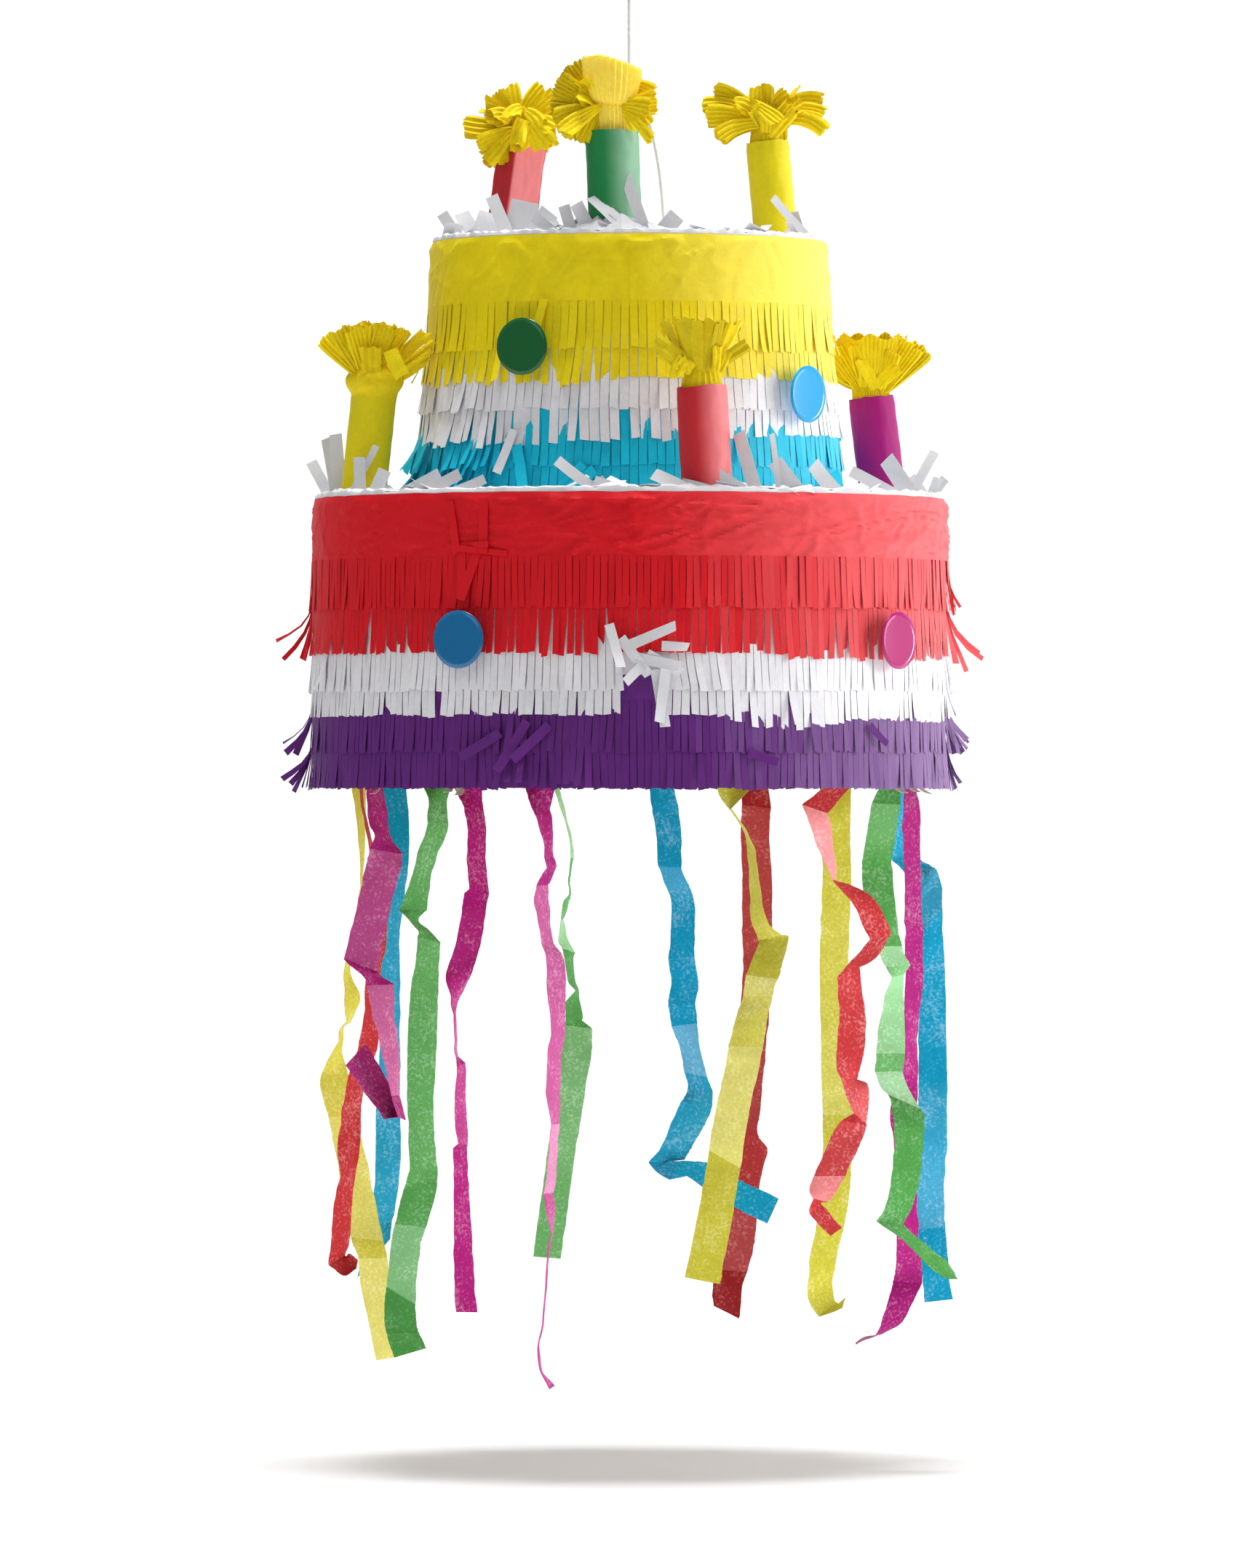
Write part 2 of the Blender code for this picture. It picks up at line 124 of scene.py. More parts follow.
def add_node(tree, kind, **values):
    """A shader node with some of its inputs set."""
    made = tree.nodes.new(kind)
    for key, value in values.items():
        made.inputs[key.replace("_", " ")].default_value = value
    return made


def tint(tree, blend, under, over):
    """The output of a colour mix of two outputs; with no second one, mixes towards the pale colour of painted
    highlights.
    """
    mix = tree.nodes.new("ShaderNodeMix")
    mix.data_type = "RGBA"
    mix.blend_type = blend
    mix.inputs[0].default_value = 1.0
    tree.links.new(under, mix.inputs[6])
    if over:
        tree.links.new(over, mix.inputs[7])
    else:
        mix.inputs[7].default_value = PAINTED_HIGHLIGHT_PAPER
    return mix.outputs[2]


def paper(name, colour, mottle=0.12, grain=320.0, crease=70.0, crease_depth=0.5, roughness=0.6,
          specular=0.35, flecks=0.0, clouding=0.5, toned=False):
    """Thin dyed paper: cloudy fibres, pale flecks, fine tooth, soft creases, and each cut's tone
    (below 1 deeper, above 1 paler), which holds random tone and painted light and shade together."""
    mat = bpy.data.materials.new(name)
    mat.use_nodes = True
    tree = mat.node_tree
    shader = tree.nodes["Principled BSDF"]
    shader.inputs["Roughness"].default_value = roughness
    shader.inputs["Specular IOR Level"].default_value = specular
    place = tree.nodes.new("ShaderNodeTexCoord")

    fibres = add_node(tree, "ShaderNodeTexNoise", Scale=grain, Detail=4.0, Roughness=0.65)
    clouds = add_node(tree, "ShaderNodeTexNoise", Scale=grain / 9.0, Detail=2.0, Roughness=0.5)
    folds = add_node(tree, "ShaderNodeTexNoise", Scale=crease, Detail=3.0, Roughness=0.55, Distortion=1.2)
    for texture in (fibres, clouds, folds):
        link(tree, place, "Object", texture, "Vector")
    both = tree.nodes.new("ShaderNodeMix")
    both.inputs["Factor"].default_value = clouding
    link(tree, fibres, "Fac", both, "A")
    link(tree, clouds, "Fac", both, "B")
    ramp = tree.nodes.new("ShaderNodeValToRGB")
    base = COLOURS[colour]
    dark, pale = ramp.color_ramp.elements
    dark.position, pale.position = RAMP_DARK, RAMP_PALE
    dark.color = (*[c * (1.0 - mottle) for c in base], 1.0)
    pale.color = (*[min(1.0, c * (1.0 + mottle) + flecks * (1.0 - c)) for c in base], 1.0)
    ramp.color_ramp.elements.new(RAMP_BASE).color = (*base, 1.0)
    link(tree, both, "Result", ramp, "Fac")
    if toned:
        tone = tree.nodes.new("ShaderNodeVertexColor")
        tone.layer_name = "tone"
        paler = tree.nodes.new("ShaderNodeMath")        # nothing at a tone of 1, PALENESS at 2
        paler.operation, paler.use_clamp = "MULTIPLY_ADD", True
        link(tree, tone, "Color", paler, 0)
        paler.inputs[1].default_value, paler.inputs[2].default_value = PALENESS, -PALENESS
        deepened = tint(tree, "MULTIPLY", ramp.outputs["Color"], tone.outputs["Color"])
        highlighted = tint(tree, "MIX", deepened, None)
        link(tree, paler, "Value", highlighted.node, 0)
        tree.links.new(highlighted, shader.inputs["Base Color"])
    else:
        link(tree, ramp, "Color", shader, "Base Color")

    tooth = add_node(tree, "ShaderNodeBump", Strength=0.2, Distance=0.00015)
    link(tree, fibres, "Fac", tooth, "Height")
    crumple = add_node(tree, "ShaderNodeBump", Strength=crease_depth, Distance=0.001)
    link(tree, folds, "Fac", crumple, "Height")
    link(tree, tooth, "Normal", crumple, "Normal")
    link(tree, crumple, "Normal", shader, "Normal")
    return mat


def gloss_card(name, colour):
    """Coated card: smooth and shiny, with the faintest ripple."""
    mat = paper(name, colour, mottle=0.03, grain=90.0, crease=40.0, crease_depth=0.04, roughness=0.2,
                specular=0.5)
    shader = mat.node_tree.nodes["Principled BSDF"]
    shader.inputs["Coat Weight"].default_value = 0.25
    shader.inputs["Coat Roughness"].default_value = 0.05
    return mat


def corrugated(name):
    """Plain brown card, with the faint lines of its flutes."""
    mat = paper(name, "card", mottle=0.10, grain=500.0, crease=60.0, crease_depth=0.15, roughness=0.85)
    tree = mat.node_tree
    flutes = add_node(tree, "ShaderNodeTexWave", Scale=70.0, Distortion=0.6, Detail=1.0)
    link(tree, tree.nodes["Texture Coordinate"], "Object", flutes, "Vector")
    ribs = add_node(tree, "ShaderNodeBump", Strength=0.2, Distance=0.0004)
    link(tree, flutes, "Fac", ribs, "Height")
    last = tree.nodes["Principled BSDF"].inputs["Normal"].links[0].from_node
    link(tree, ribs, "Normal", last.inputs["Normal"].links[0].from_node, "Normal")
    return mat


MATERIALS = {}


def material(kind):
    """The material of that kind, made the first time it is asked for."""
    if kind in MATERIALS:
        return MATERIALS[kind]
    if kind == "card":
        made = corrugated("corrugated_card")
    elif kind.startswith("dot_"):
        made = gloss_card("gloss_" + kind, kind)
    elif kind.startswith("tube_"):
        made = paper(kind + "_paper", kind, mottle=0.05, grain=420.0, crease=40.0, crease_depth=0.22,
                     roughness=0.6, specular=0.3, toned=True)
    elif kind.startswith("paper_"):
        made = paper(kind + "_streamer", kind, mottle=0.12, grain=620.0, crease=110.0, crease_depth=0.2,
                     roughness=0.75, specular=0.15, flecks=0.20, clouding=0.3, toned=True)
    elif kind == "crepe":
        made = paper("crepe_yellow", kind, mottle=0.10, grain=300.0, crease=260.0, crease_depth=0.6,
                     roughness=0.7, specular=0.25, toned=True)
    elif kind == "cotton":
        made = paper("cotton_cord", kind, mottle=0.03, grain=900.0, crease=600.0, crease_depth=0.3,
                     roughness=0.9)
        made.node_tree.nodes["Principled BSDF"].inputs["Sheen Weight"].default_value = 1.0
    elif kind == "icing":
        made = paper("shredded_white", "shreds", mottle=0.03, grain=300.0, crease=90.0, crease_depth=0.3,
                     toned=True)
    else:
        made = paper("tissue_" + kind, kind, mottle=0.05, grain=360.0, crease=110.0, crease_depth=0.3,
                     roughness=0.65, specular=0.2, toned=True)
    MATERIALS[kind] = made
    return made


# ---- making objects ----------------------------------------------------------------------------
def placed(name, data):
    """A new object of that data, in the scene."""
    obj = bpy.data.objects.new(name, data)
    bpy.context.scene.collection.objects.link(obj)
    return obj


def mesh_of(name, bm, finish):
    """The mesh of a finished bmesh, in one material."""
    mesh = bpy.data.meshes.new(name)
    bm.to_mesh(mesh)
    bm.free()
    mesh.materials.append(finish)
    return mesh


def thicken(obj, thickness, offset=0.0):
    """Makes a sheet that thick: to both sides alike, or all below it with an offset of -1."""
    solid = obj.modifiers.new("Paper", "SOLIDIFY")
    solid.thickness, solid.offset = thickness, offset


def paint_tones(mesh, tones):
    """Gives each point its tone: 1 is the paper's own colour."""
    layer = mesh.color_attributes.new("tone", "FLOAT_COLOR", "POINT")
    for value, tone in zip(layer.data, tones):
        value.color = (tone, tone, tone, 1.0)


# ---- sheets of paper ---------------------------------------------------------------------------
CRISP_ANGLE = math.radians(35.0)    # paper turned by more than this shows a sharp fold


class Cuttings:
    """Strips of paper that together make one piece, each with a tone of its own."""

    def __init__(self):
        self.points, self.faces, self.tones = [], [], []

    def strip(self, rows, tone=1.0, closed=False):
        """rows is a list of equal lists of points across the strip; tone is one number, or a list of
        one for each row, and a row's may be a list of one for each point."""
        start, wide = len(self.points), len(rows[0])
        row_tones = tone if isinstance(tone, list) else [tone] * len(rows)
        for row, row_tone in zip(rows, row_tones):
            self.points.extend(row)
            self.tones.extend(row_tone if isinstance(row_tone, list) else [row_tone] * wide)
        for i in range(len(rows) - 1):
            for j in range(wide if closed else wide - 1):
                a = start + i * wide + j
                b = start + i * wide + (j + 1) % wide
                self.faces.append((a, b, b + wide, a + wide))

    def piece(self, name, kind, thickness, body, slot, smooth=True):
        """Makes the object, with real thickness, and lets it ride on its body."""
        mesh = bpy.data.meshes.new(name)
        mesh.from_pydata(self.points, [], self.faces)
        paint_tones(mesh, self.tones)
        for face in mesh.polygons:
            face.use_smooth = smooth
        mesh.materials.append(material(kind))
        obj = placed(name, mesh)
        thicken(obj, thickness)
        crisp = obj.modifiers.new("Crisp", "EDGE_SPLIT")
        crisp.split_angle = CRISP_ANGLE
        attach(obj, body)
        return obj


def outward(azimuth):
    angle = math.radians(azimuth)
    return Vector((math.sin(angle), -math.cos(angle), 0.0))


def sideways(azimuth):
    """Unit vector along the tangent, towards growing azimuth."""
    angle = math.radians(azimuth)
    return Vector((math.cos(angle), math.sin(angle), 0.0))


PAINTED_LIGHT, BLUE_PAINTED_LIGHT = 0.28, 0.14    # painted light: how much paler the right side, which faces the light, is painted
PAINTED_LIGHT_POWER = 1.3                # how quickly that grows towards the right


def painted_light(azimuth, colour):
    """How much paler the paper is painted there than on the left side: painted light from the right."""
    most = BLUE_PAINTED_LIGHT if colour == "blue" else PAINTED_LIGHT
    return most * max(0.0, math.sin(math.radians(azimuth))) ** PAINTED_LIGHT_POWER


def ripple(*place):
    """Smooth noise, about -1 to 1."""
    return noise.noise(Vector(place))


def turned(azimuth, centre):
    """Degrees from centre to azimuth, from -180 to 180."""
    return (azimuth - centre + 180) % 360 - 180


def smooth_route(points, pieces):
    """Points along a Catmull-Rom curve through lists of numbers, with that many pieces a span."""
    first = [2 * a - b for a, b in zip(points[0], points[1])]
    last = [2 * a - b for a, b in zip(points[-1], points[-2])]
    padded = [first] + [list(p) for p in points] + [last]
    route = []
    for a, b, c, d in zip(padded, padded[1:], padded[2:], padded[3:]):
        for step in range(pieces):
            t = step / pieces
            route.append([0.5 * (2 * q + (r - p) * t + (2 * p - 5 * q + 4 * r - s) * t * t
                                 + (3 * q - p - 3 * r + s) * t ** 3) for p, q, r, s in zip(a, b, c, d)])
    route.append(list(points[-1]))
    return route


# ---- where the dots are, which press the fringe flat -------------------------------------------
# Tier, side, card, azimuth. Those at the back have no side, and end with their drop in mm.
FRONT_DOTS = [("upper", "left", "dot_green", -28.5), ("upper", "right", "dot_light_blue", 52),
              ("lower", "left", "dot_blue", -30), ("lower", "right", "dot_magenta", 52.5)]
REAR_DOTS = [("upper", "dot_blue", 149, 207), ("upper", "dot_magenta", -121, 231),
             ("lower", "dot_green", 148, 360), ("lower", "dot_light_blue", -122, 360)]
CALM = [(name, azimuth) for name, side, kind, azimuth in FRONT_DOTS]
CALM += [(name, azimuth) for name, kind, azimuth, drop in REAR_DOTS]
CALM_REACH = 17 * MM        # round the wall from a dot's middle


def by_a_dot(tier, azimuth):
    """Whether a tab there is close enough to a dot to lie flat."""
    return any(TIERS[name] is tier and abs(math.radians(turned(azimuth, centre))) * tier.r_top < CALM_REACH
               for name, centre in CALM)


# ---- fringed rows ------------------------------------------------------------------------------
# Zones of a row: azimuth, half width, then how ragged, how far lifted (degrees), the share of
# missing tabs, and how much longer the tabs are.
ROWS = [
    # node, tier, colour, plain header mm (only a tier's first row has one), tab pitch mm, zones
    ("upper_row_1_yellow", UPPER, "yellow", 34.0, 4.4, [(38, 30, 0.35, 5, 0.0, 0.03)]),
    ("upper_row_2_yellow", UPPER, "yellow", None, 4.6, [(-16, 14, 0.75, 3, 0.06, 0.2),
        (-46, 40, 0.25, 1, 0.0, 0.12)]),
    ("upper_row_3_white", UPPER, "white", None, 5.0, [(-50, 40, 0.25, 3, 0.0, 0.0)]),
    ("upper_row_4_white", UPPER, "white", None, 5.2, [(-48, 40, 0.5, 4, 0.14, 0.36),
        (-12, 34, 0.25, 2, 0.05, 0.32), (20, 24, 0.1, 0, 0.0, 0.14)]),
    ("upper_row_5_blue", UPPER, "blue", None, 4.6, [(-62, 46, 0.7, 16, 0.0, 0.1)]),
    ("upper_row_6_blue", UPPER, "blue", None, 4.6, [(-66, 50, 0.9, 30, 0.0, 0.1)]),
    ("lower_row_1_red", LOWER, "red", 32.0, 3.6, [(-32, 6, 0.5, 6, 0.0, 0.0), (88, 8, 0.4, 9, 0, 0)]),
    ("lower_row_2_red", LOWER, "red", None, 3.9, [(-91, 2.6, 1.0, 60, 0, 0.25), (88, 3.2, 1.0, 52, 0, 0.25),
        (-9, 9, 0.55, 3, 0.12, 0.04), (52, 36, 0.1, 0, 0, 0.12)]),
    ("lower_row_3_white", LOWER, "white", None, 4.0, [(1.5, 5, 0.8, 10, 0.9, 0.0), (90, 9, 0.5, 14, 0, 0)]),
    ("lower_row_4_white", LOWER, "white", None, 4.4, [(1.5, 6.0, 0.6, 0, 1.0, 0.0),
        (-28, 14, 0.4, 3, 0.07, 0.0), (90, 9, 0.5, 14, 0, 0), (30, 15, 0.1, 0, 0, 0.36),
        (56, 32, 0.1, 0, 0, 0.16)]),
    ("lower_row_5_purple", LOWER, "purple", None, 3.7, [(-24, 9, 0.6, 10, 0, 0.0), (90, 8, 0.9, 30, 0, 0),
        (-91, 3, 0.9, 36, 0, 0.1)]),
    ("lower_row_6_purple", LOWER, "purple", None, 3.8, [(-18, 14, 0.8, 16, 0, 0.0),
        (-93, 3, 0.9, 44, 0, 0.1), (92, 6, 0.7, 16, 0, 0)]),
]
SLIT_TUCK = 8 * MM          # slits start this far above the row in front's cut ends
BASE_OVERHANG = 2.4 * MM    # how far the last row hangs below the base
TISSUE = 0.14 * MM
HEADER_STAND = 0.35 * MM
TAB_STEPS = [1.5, 2.5, 4.0, 5.0, 6.0, 6.0]      # lengths along a tab, in proportion
ROOT_LEAN, FIRST_ROOT_LEAN = 10.0, 2.5          # how steeply a tab leaves the wall, in degrees
ROOT_FADE = 3.5 * MM                            # and how soon it eases
TAB_WIDTHS = (0.88, 0.97)                       # a tab's width as a share of its pitch
TAB_TONES = (0.93, 1.0)
GROUP_CHANCE = 0.28         # how often the next tab starts a group that leans its own way
LOOSE_FLARE, LOOSE_SWAY = (8.0, 22.0), 8        # how much further a loose tab stands out and aside
LIFTED = (0.25, 1.1)        # how much of its zone's lift a tab takes
EDGE_SHARPNESS = 2.2        # how quickly a zone fades in from its edge
STRONG_LIFT = 20            # zones lifted by more than this twist their tabs right over
TWISTED_OVER = 60
CLUMPS = 0.11               # how quickly clumps follow each other round a row, per degree
CLUMP_FLARE, CLUMP_LENGTH = 1.6, 1.2 * MM       # and what they do to a tab
# How far tabs differ, in degrees or as a share: when tidy, and what raggedness adds.
GROUP_FLARE, GROUP_SWAY, LOOSE_CHANCE = (1.6, 4.0), (1.2, 4.0), (0.015, 0.04)
LENGTH_SPREAD, FLARE_SPREAD, SWAY_SPREAD = (0.010, 0.06), (0.5, 2.5), (0.7, 4.0)
TWIST_SPREAD, CURL_SPREAD = (4.0, 22.0), (3.0, 10.0)


def spread(tidy_and_added, ragged):
    tidy, added = tidy_and_added
    return tidy + added * ragged


def zone_at(zones, azimuth):
    """The zone values that hold at an azimuth, faded in from each zone's edge."""
    ragged, lift, missing, longer = 0.0, 0.0, 0.0, 0.0
    for centre, half, z_ragged, z_lift, z_missing, z_longer in zones:
        away = abs(turned(azimuth, centre))
        share = max(0.0, min(1.0, EDGE_SHARPNESS * (1.0 - away / half)))
        ragged, lift = max(ragged, z_ragged * share), max(lift, z_lift * share)
        missing, longer = max(missing, z_missing * share), max(longer, z_longer * share)
    return ragged, lift, missing, longer


def hang_tab(cuttings, rng, start, azimuth, pitch, width, slit, root_lean, length, flare, sway, twist,
             curl, tone):
    """One cut tab: full width to its slit, then it turns out, sideways and about itself."""
    out, side = outward(azimuth), sideways(azimuth)
    place, rows, gone = start.copy(), [], 0.0
    whole = sum(TAB_STEPS)
    for step in [0.0] + [length * t / whole for t in TAB_STEPS]:
        s = (gone + step / 2) / length
        free = min(1.0, s * 1.4)
        lean = math.radians(root_lean * math.exp(-gone / ROOT_FADE) + flare * free + curl * s * s)
        drift = math.radians(sway * free)
        heading = (DOWN * math.cos(lean) + out * math.sin(lean)) * math.cos(drift) + side * math.sin(drift)
        place, gone = place + heading * step, gone + step
        turn = math.radians(twist * min(1.0, gone / length))
        across = side * math.cos(turn) + out * math.sin(turn)
        across = (across - heading * across.dot(heading)).normalized()
        wide = pitch if gone < slit else width
        rows.append([place - across * wide / 2, place + across * wide / 2])
    trim = rng.uniform(-0.5, 0.5) * MM
    rows[-1][0], rows[-1][1] = rows[-1][0] + DOWN * trim, rows[-1][1] - DOWN * trim
    cuttings.strip(rows, tone)


def creased(x, y, seed):
    """A sharp ridge line, from 0 to 1, along the zero of a noise field."""
    bent = ripple(x * 0.7 + 5.0, y * 0.7, seed + 11.0) * 0.9
    return max(0.0, 1.0 - abs(ripple(x + bent, y + bent, seed)) * 4.2) ** 1.5


YELLOW_DEPTH, RED_DEPTH = 0.032, 0.030      # metres over which a header's wrinkles change


def header_relief(azimuth, drop, index):
    """How far a plain header's wrinkles stand off, in metres: creases round the tier, and puckers.
    Each is weighed in mm, at a given scale."""
    turn = math.radians(azimuth)
    x, y = math.sin(turn) * 3.1, math.cos(turn) * 3.1
    if index == 0:
        level = drop / YELLOW_DEPTH
        long_creases = creased(x * 1.6 + y, level * 2.2 + x * 0.9, 3.0)
        steep = creased(azimuth * 0.085 + level * 0.9, level * 0.35, 8.0) * (0.4 + 0.6 * min(1.0, level))
        swell = ripple(x * 2.4, y * 2.4 + level * 1.2, 1.0)
        return MM * (0.9 * long_creases * max(0.0, 1.2 - level) + 0.7 * steep + 0.9 * abs(swell))
    level = drop / RED_DEPTH
    long_creases = creased(x * 1.8 + y * 1.3, level * 3.4 + x * 1.1, 5.0)
    short = creased(azimuth * 0.11 + level * 0.6, level * 4.0, 9.0)
    puckers = creased(azimuth * 0.16 + level, level * 1.4, 14.0)
    swell = abs(ripple(azimuth * 0.05, level * 1.1, 2.0))
    calm = 0.35 + 0.65 * min(1.0, max(0.0, (azimuth if azimuth < 180 else azimuth - 360) + 40) / 60)
    return MM * (0.3 + calm * (1.3 * long_creases + 1.0 * short + 0.8 * puckers) + 1.1 * swell)


def header_stand(azimuth, drop, index, first):
    """The uncut paper's distance from its wall: flat at the rim and under another row's tabs."""
    if not first:
        return HEADER_STAND * 0.5
    return HEADER_STAND + min(1.0, drop / (3 * MM)) * header_relief(azimuth, drop, index)


def header_band(cuttings, tier, colour, top, slit, index, first):
    """The uncut part of a row, wrinkled where it shows and folded in over the rim of its tier."""
    around, levels = (720, 26) if first else (200, 3)
    rows = []
    if first:
        rows.append([outward(360.0 * c / around) * (tier.radius(top) - 3.5 * MM) + UP * (top + 0.2 * MM)
                     for c in range(around)])
    for level in range(levels + 1):
        z = top + (slit - top) * level / levels
        row = []
        for c in range(around):
            azimuth = 360.0 * c / around
            edge = 0.5 * MM * ripple(azimuth * 0.2, 5.0, index) if first and level == 0 else 0.0
            stand = header_stand(azimuth, tier.top - z, index, first)
            row.append(outward(azimuth) * (tier.radius(z) + stand) + UP * (z + edge))
        rows.append(row)
    # painted light: the header is painted paler towards its right side
    tones = [1.0 + painted_light(360.0 * c / around, colour) for c in range(around)]
    cuttings.strip(rows, [tones] * len(rows), closed=True)


def fringe_rows():
    """Every row of tissue: an uncut band with a row of cut tabs hanging from it."""
    slit_above = None
    for index, (node, tier, colour, header, pitch, zones) in enumerate(ROWS):
        rng = random.Random(100 + index)
        first = header is not None
        lowest = index == len(ROWS) - 1
        last_of_tier = lowest or ROWS[index + 1][1] is not tier
        bottom = bottom_of(node) - (BASE_OVERHANG if lowest else 0.0)
        if first:
            top, slit = tier.top + 0.4 * MM, tier.top - header * MM
        else:
            previous_bottom = bottom_of(ROWS[index - 1][0])
            top, slit = slit_above - 0.5 * MM, min(previous_bottom + SLIT_TUCK, slit_above - 2.5 * MM)
        slit_above = slit
        cuttings = Cuttings()
        header_band(cuttings, tier, colour, top, bottom + 0.4 * MM if last_of_tier else slit, index, first)

        count = round(math.tau * tier.radius(slit) / (pitch * MM))
        pitch_here = math.tau * (tier.radius(slit) + HEADER_STAND) / count
        slope = math.degrees(math.atan2(tier.r_bottom - tier.r_top, tier.top - tier.bottom))
        group_flare = group_sway = 0.0
        for column in range(count):
            azimuth = 360.0 * (column + 0.5) / count
            ragged, lift, missing, longer = zone_at(zones, azimuth)
            if rng.random() < GROUP_CHANCE:
                group_flare = rng.gauss(0.0, spread(GROUP_FLARE, ragged))
                group_sway = rng.gauss(0.0, spread(GROUP_SWAY, ragged))
            loose = rng.random() < spread(LOOSE_CHANCE, ragged)
            if by_a_dot(tier, azimuth):
                loose, lift, ragged, group_flare = False, 0.0, 0.3 * ragged, 0.5
            gone = rng.random() < missing
            clump = ripple(azimuth * CLUMPS, index * 3.1, 1.0)
            length = slit - bottom
            length *= 1.0 + rng.gauss(0.0, spread(LENGTH_SPREAD, ragged)) + longer * rng.uniform(0.5, 1.0)
            length += CLUMP_LENGTH * clump
            flare = slope + CLUMP_FLARE + CLUMP_FLARE * clump + abs(group_flare)
            flare += rng.gauss(0.0, spread(FLARE_SPREAD, ragged))
            flare += lift * rng.uniform(*LIFTED) + (rng.uniform(*LOOSE_FLARE) if loose else 0.0)
            stand = header_stand(azimuth, tier.top - slit, index, first)
            start = outward(azimuth) * (tier.radius(slit) + stand) + UP * slit
            cut = rng.uniform(0.0, 4.0 if first else 1.0) * MM
            if gone:
                continue
            width = pitch_here * rng.uniform(*TAB_WIDTHS)
            sway = group_sway + rng.gauss(0.0, spread(SWAY_SPREAD, ragged))
            if loose:
                sway += rng.gauss(0, LOOSE_SWAY)
            twist = rng.gauss(0.0, spread(TWIST_SPREAD, ragged))
            if lift > STRONG_LIFT:
                twist += rng.choice((-TWISTED_OVER, TWISTED_OVER))
            curl = rng.gauss(0.0, spread(CURL_SPREAD, ragged))
            # a random tone, plus painted light on the right side
            tone = rng.uniform(*TAB_TONES) + painted_light(azimuth, colour)
            hang_tab(cuttings, rng, start, azimuth, pitch_here, width, cut,
                     FIRST_ROOT_LEAN if first else ROOT_LEAN, length, flare, sway, twist, curl, tone)
        row_piece = cuttings.piece(node + "_fringe", colour, TISSUE, "pinata", "tissue_" + colour)
        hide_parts(node)


# ---- loose strips, shreds and the white tissue on the decks ------------------------------------
def curl_strip(cuttings, start, heading, facing, length, width, bend, twist, tone=1.0):
    """A loose strip: it leaves start along heading, bends towards facing and twists, in degrees."""
    parts = 8
    heading, place, rows = heading.normalized(), start.copy(), []
    across = heading.cross(facing).normalized()
    normal = across.cross(heading).normalized()
    for i in range(parts + 1):
        s = i / parts
        angle = math.radians(bend * s)
        going = heading * math.cos(angle) + normal * math.sin(angle)
        turn = math.radians(twist * s)
        flat = normal * math.cos(angle) - heading * math.sin(angle)
        wide = across * math.cos(turn) + flat * math.sin(turn)
        half = width / 2
        rows.append([place - wide * half, place + wide * half])
        place = place + going * (length / parts)
    cuttings.strip(rows, tone)


# Shreds that stand up round the rims, by deck: azimuth, radius mm, length mm, lean to the right
# (degrees from upright), lean outwards, width mm.
SHREDS = {
    "upper": [
        (-122, 88, 17, -42, 10, 6), (-112, 84, 22, -16, 20, 8), (-94, 94, 11, 42, 20, 5),
        (-24, 95, 14, -48, 6, 6), (0, 98, 28, -44, 4, 7), (5, 97, 36, -20, 2, 6), (5, 95, 21, -58, 5, 5),
        (-18, 96, 15, -14, 4, 6), (104, 94, 18, -30, 15, 5.5), (110, 90, 12, -60, 10, 5),
        (96, 97, 33, -46, 4, 4.5), (-72, 62, 21, 4, -12, 15), (-80, 78, 16, 24, 8, 13),
        (-64, 57, 18, 36, 0, 11), (-84, 88, 18, -34, 5, 6), (-70, 66, 25, -24, 0, 7),
        (-90, 84, 12, 60, 0, 12), (-12, 95, 17, -26, 4, 7), (10, 96, 12, 40, 6, 9), (-8, 96, 10, 50, 8, 10),
    ],
    "lower": [
        (-84, 153, 33, -3, 6, 6.5), (-79, 153, 33, 1, 6, 7.5), (-86, 156, 22, -20, 10, 6),
        (-77, 156, 26, 52, 6, 7), (-70, 154, 30, 34, 8, 3.5), (-66, 152, 20, 5, 8, 6),
        (-60, 152, 14, 30, 10, 7), (-48, 157, 22, 62, 6, 5), (-42, 158, 22, 66, 6, 6),
        (-35, 157, 18, 70, 5, 5), (-6, 158, 26, -55, 6, 5.5), (-1, 156, 16, -72, 6, 5),
        (11, 156, 20, -62, 8, 7), (21, 160, 34, -58, 4, 7), (24, 158, 32, -18, 3, 7),
        (29, 157, 30, -7, 2, 3), (33, 158, 20, -40, 6, 8), (42, 158, 20, -45, 6, 8),
        (60, 158, 26, -62, 6, 6), (73, 152, 27, 24, 6, 5), (69, 156, 24, -38, 6, 9),
        (86, 155, 14, -40, 10, 5), (96, 158, 14, 30, 8, 5), (104, 158, 13, -20, 10, 4),
        (90, 157, 12, 12, 10, 5), (15, 157, 15, -74, 5, 6),
    ],
}
SHRED_TONES = (0.93, 1.0)
SHRED_PAPER, ICING_PAPER, SCRAP_PAPER = 0.16 * MM, 0.2 * MM, 0.18 * MM
# Short ones that lie about as well, two thirds of them on the lower deck, half of those by its rim.
SCATTERED_SHREDS = 170
ON_UPPER, BY_LOWER_RIM, ON_LOWER = (88, 98), (150, 162), (122, 160)     # radii in mm
SCATTERED_LENGTHS, SCATTERED_WIDTHS = (10, 20), (4.0, 6.5)              # mm
SCATTERED_BENDS, SCATTERED_TWISTS, SCATTERED_TONES = (-50, 25), (-50, 50), (0.92, 1.0)


RIM_INSET = 0.2 * MM        # how far inside a deck's rim its white tissue is folded
HEAP_REACH = 19 * MM        # how wide it is heaped up round a candle


def mound(place, centres):
    """Height of tissue heaped round the candles, from 0 to 1."""
    return max([math.exp(-((place - centre).length / HEAP_REACH) ** 2) for centre in centres] + [0.0])


def candle_feet(deck):
    """Where the candles of a deck stand, at height 0."""
    feet = []
    for where in ("front", "left", "right", "back"):
        name = "candle_tube_%s_%s" % (deck, where)
        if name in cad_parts:
            feet.append(plan_middle(name))
    return feet


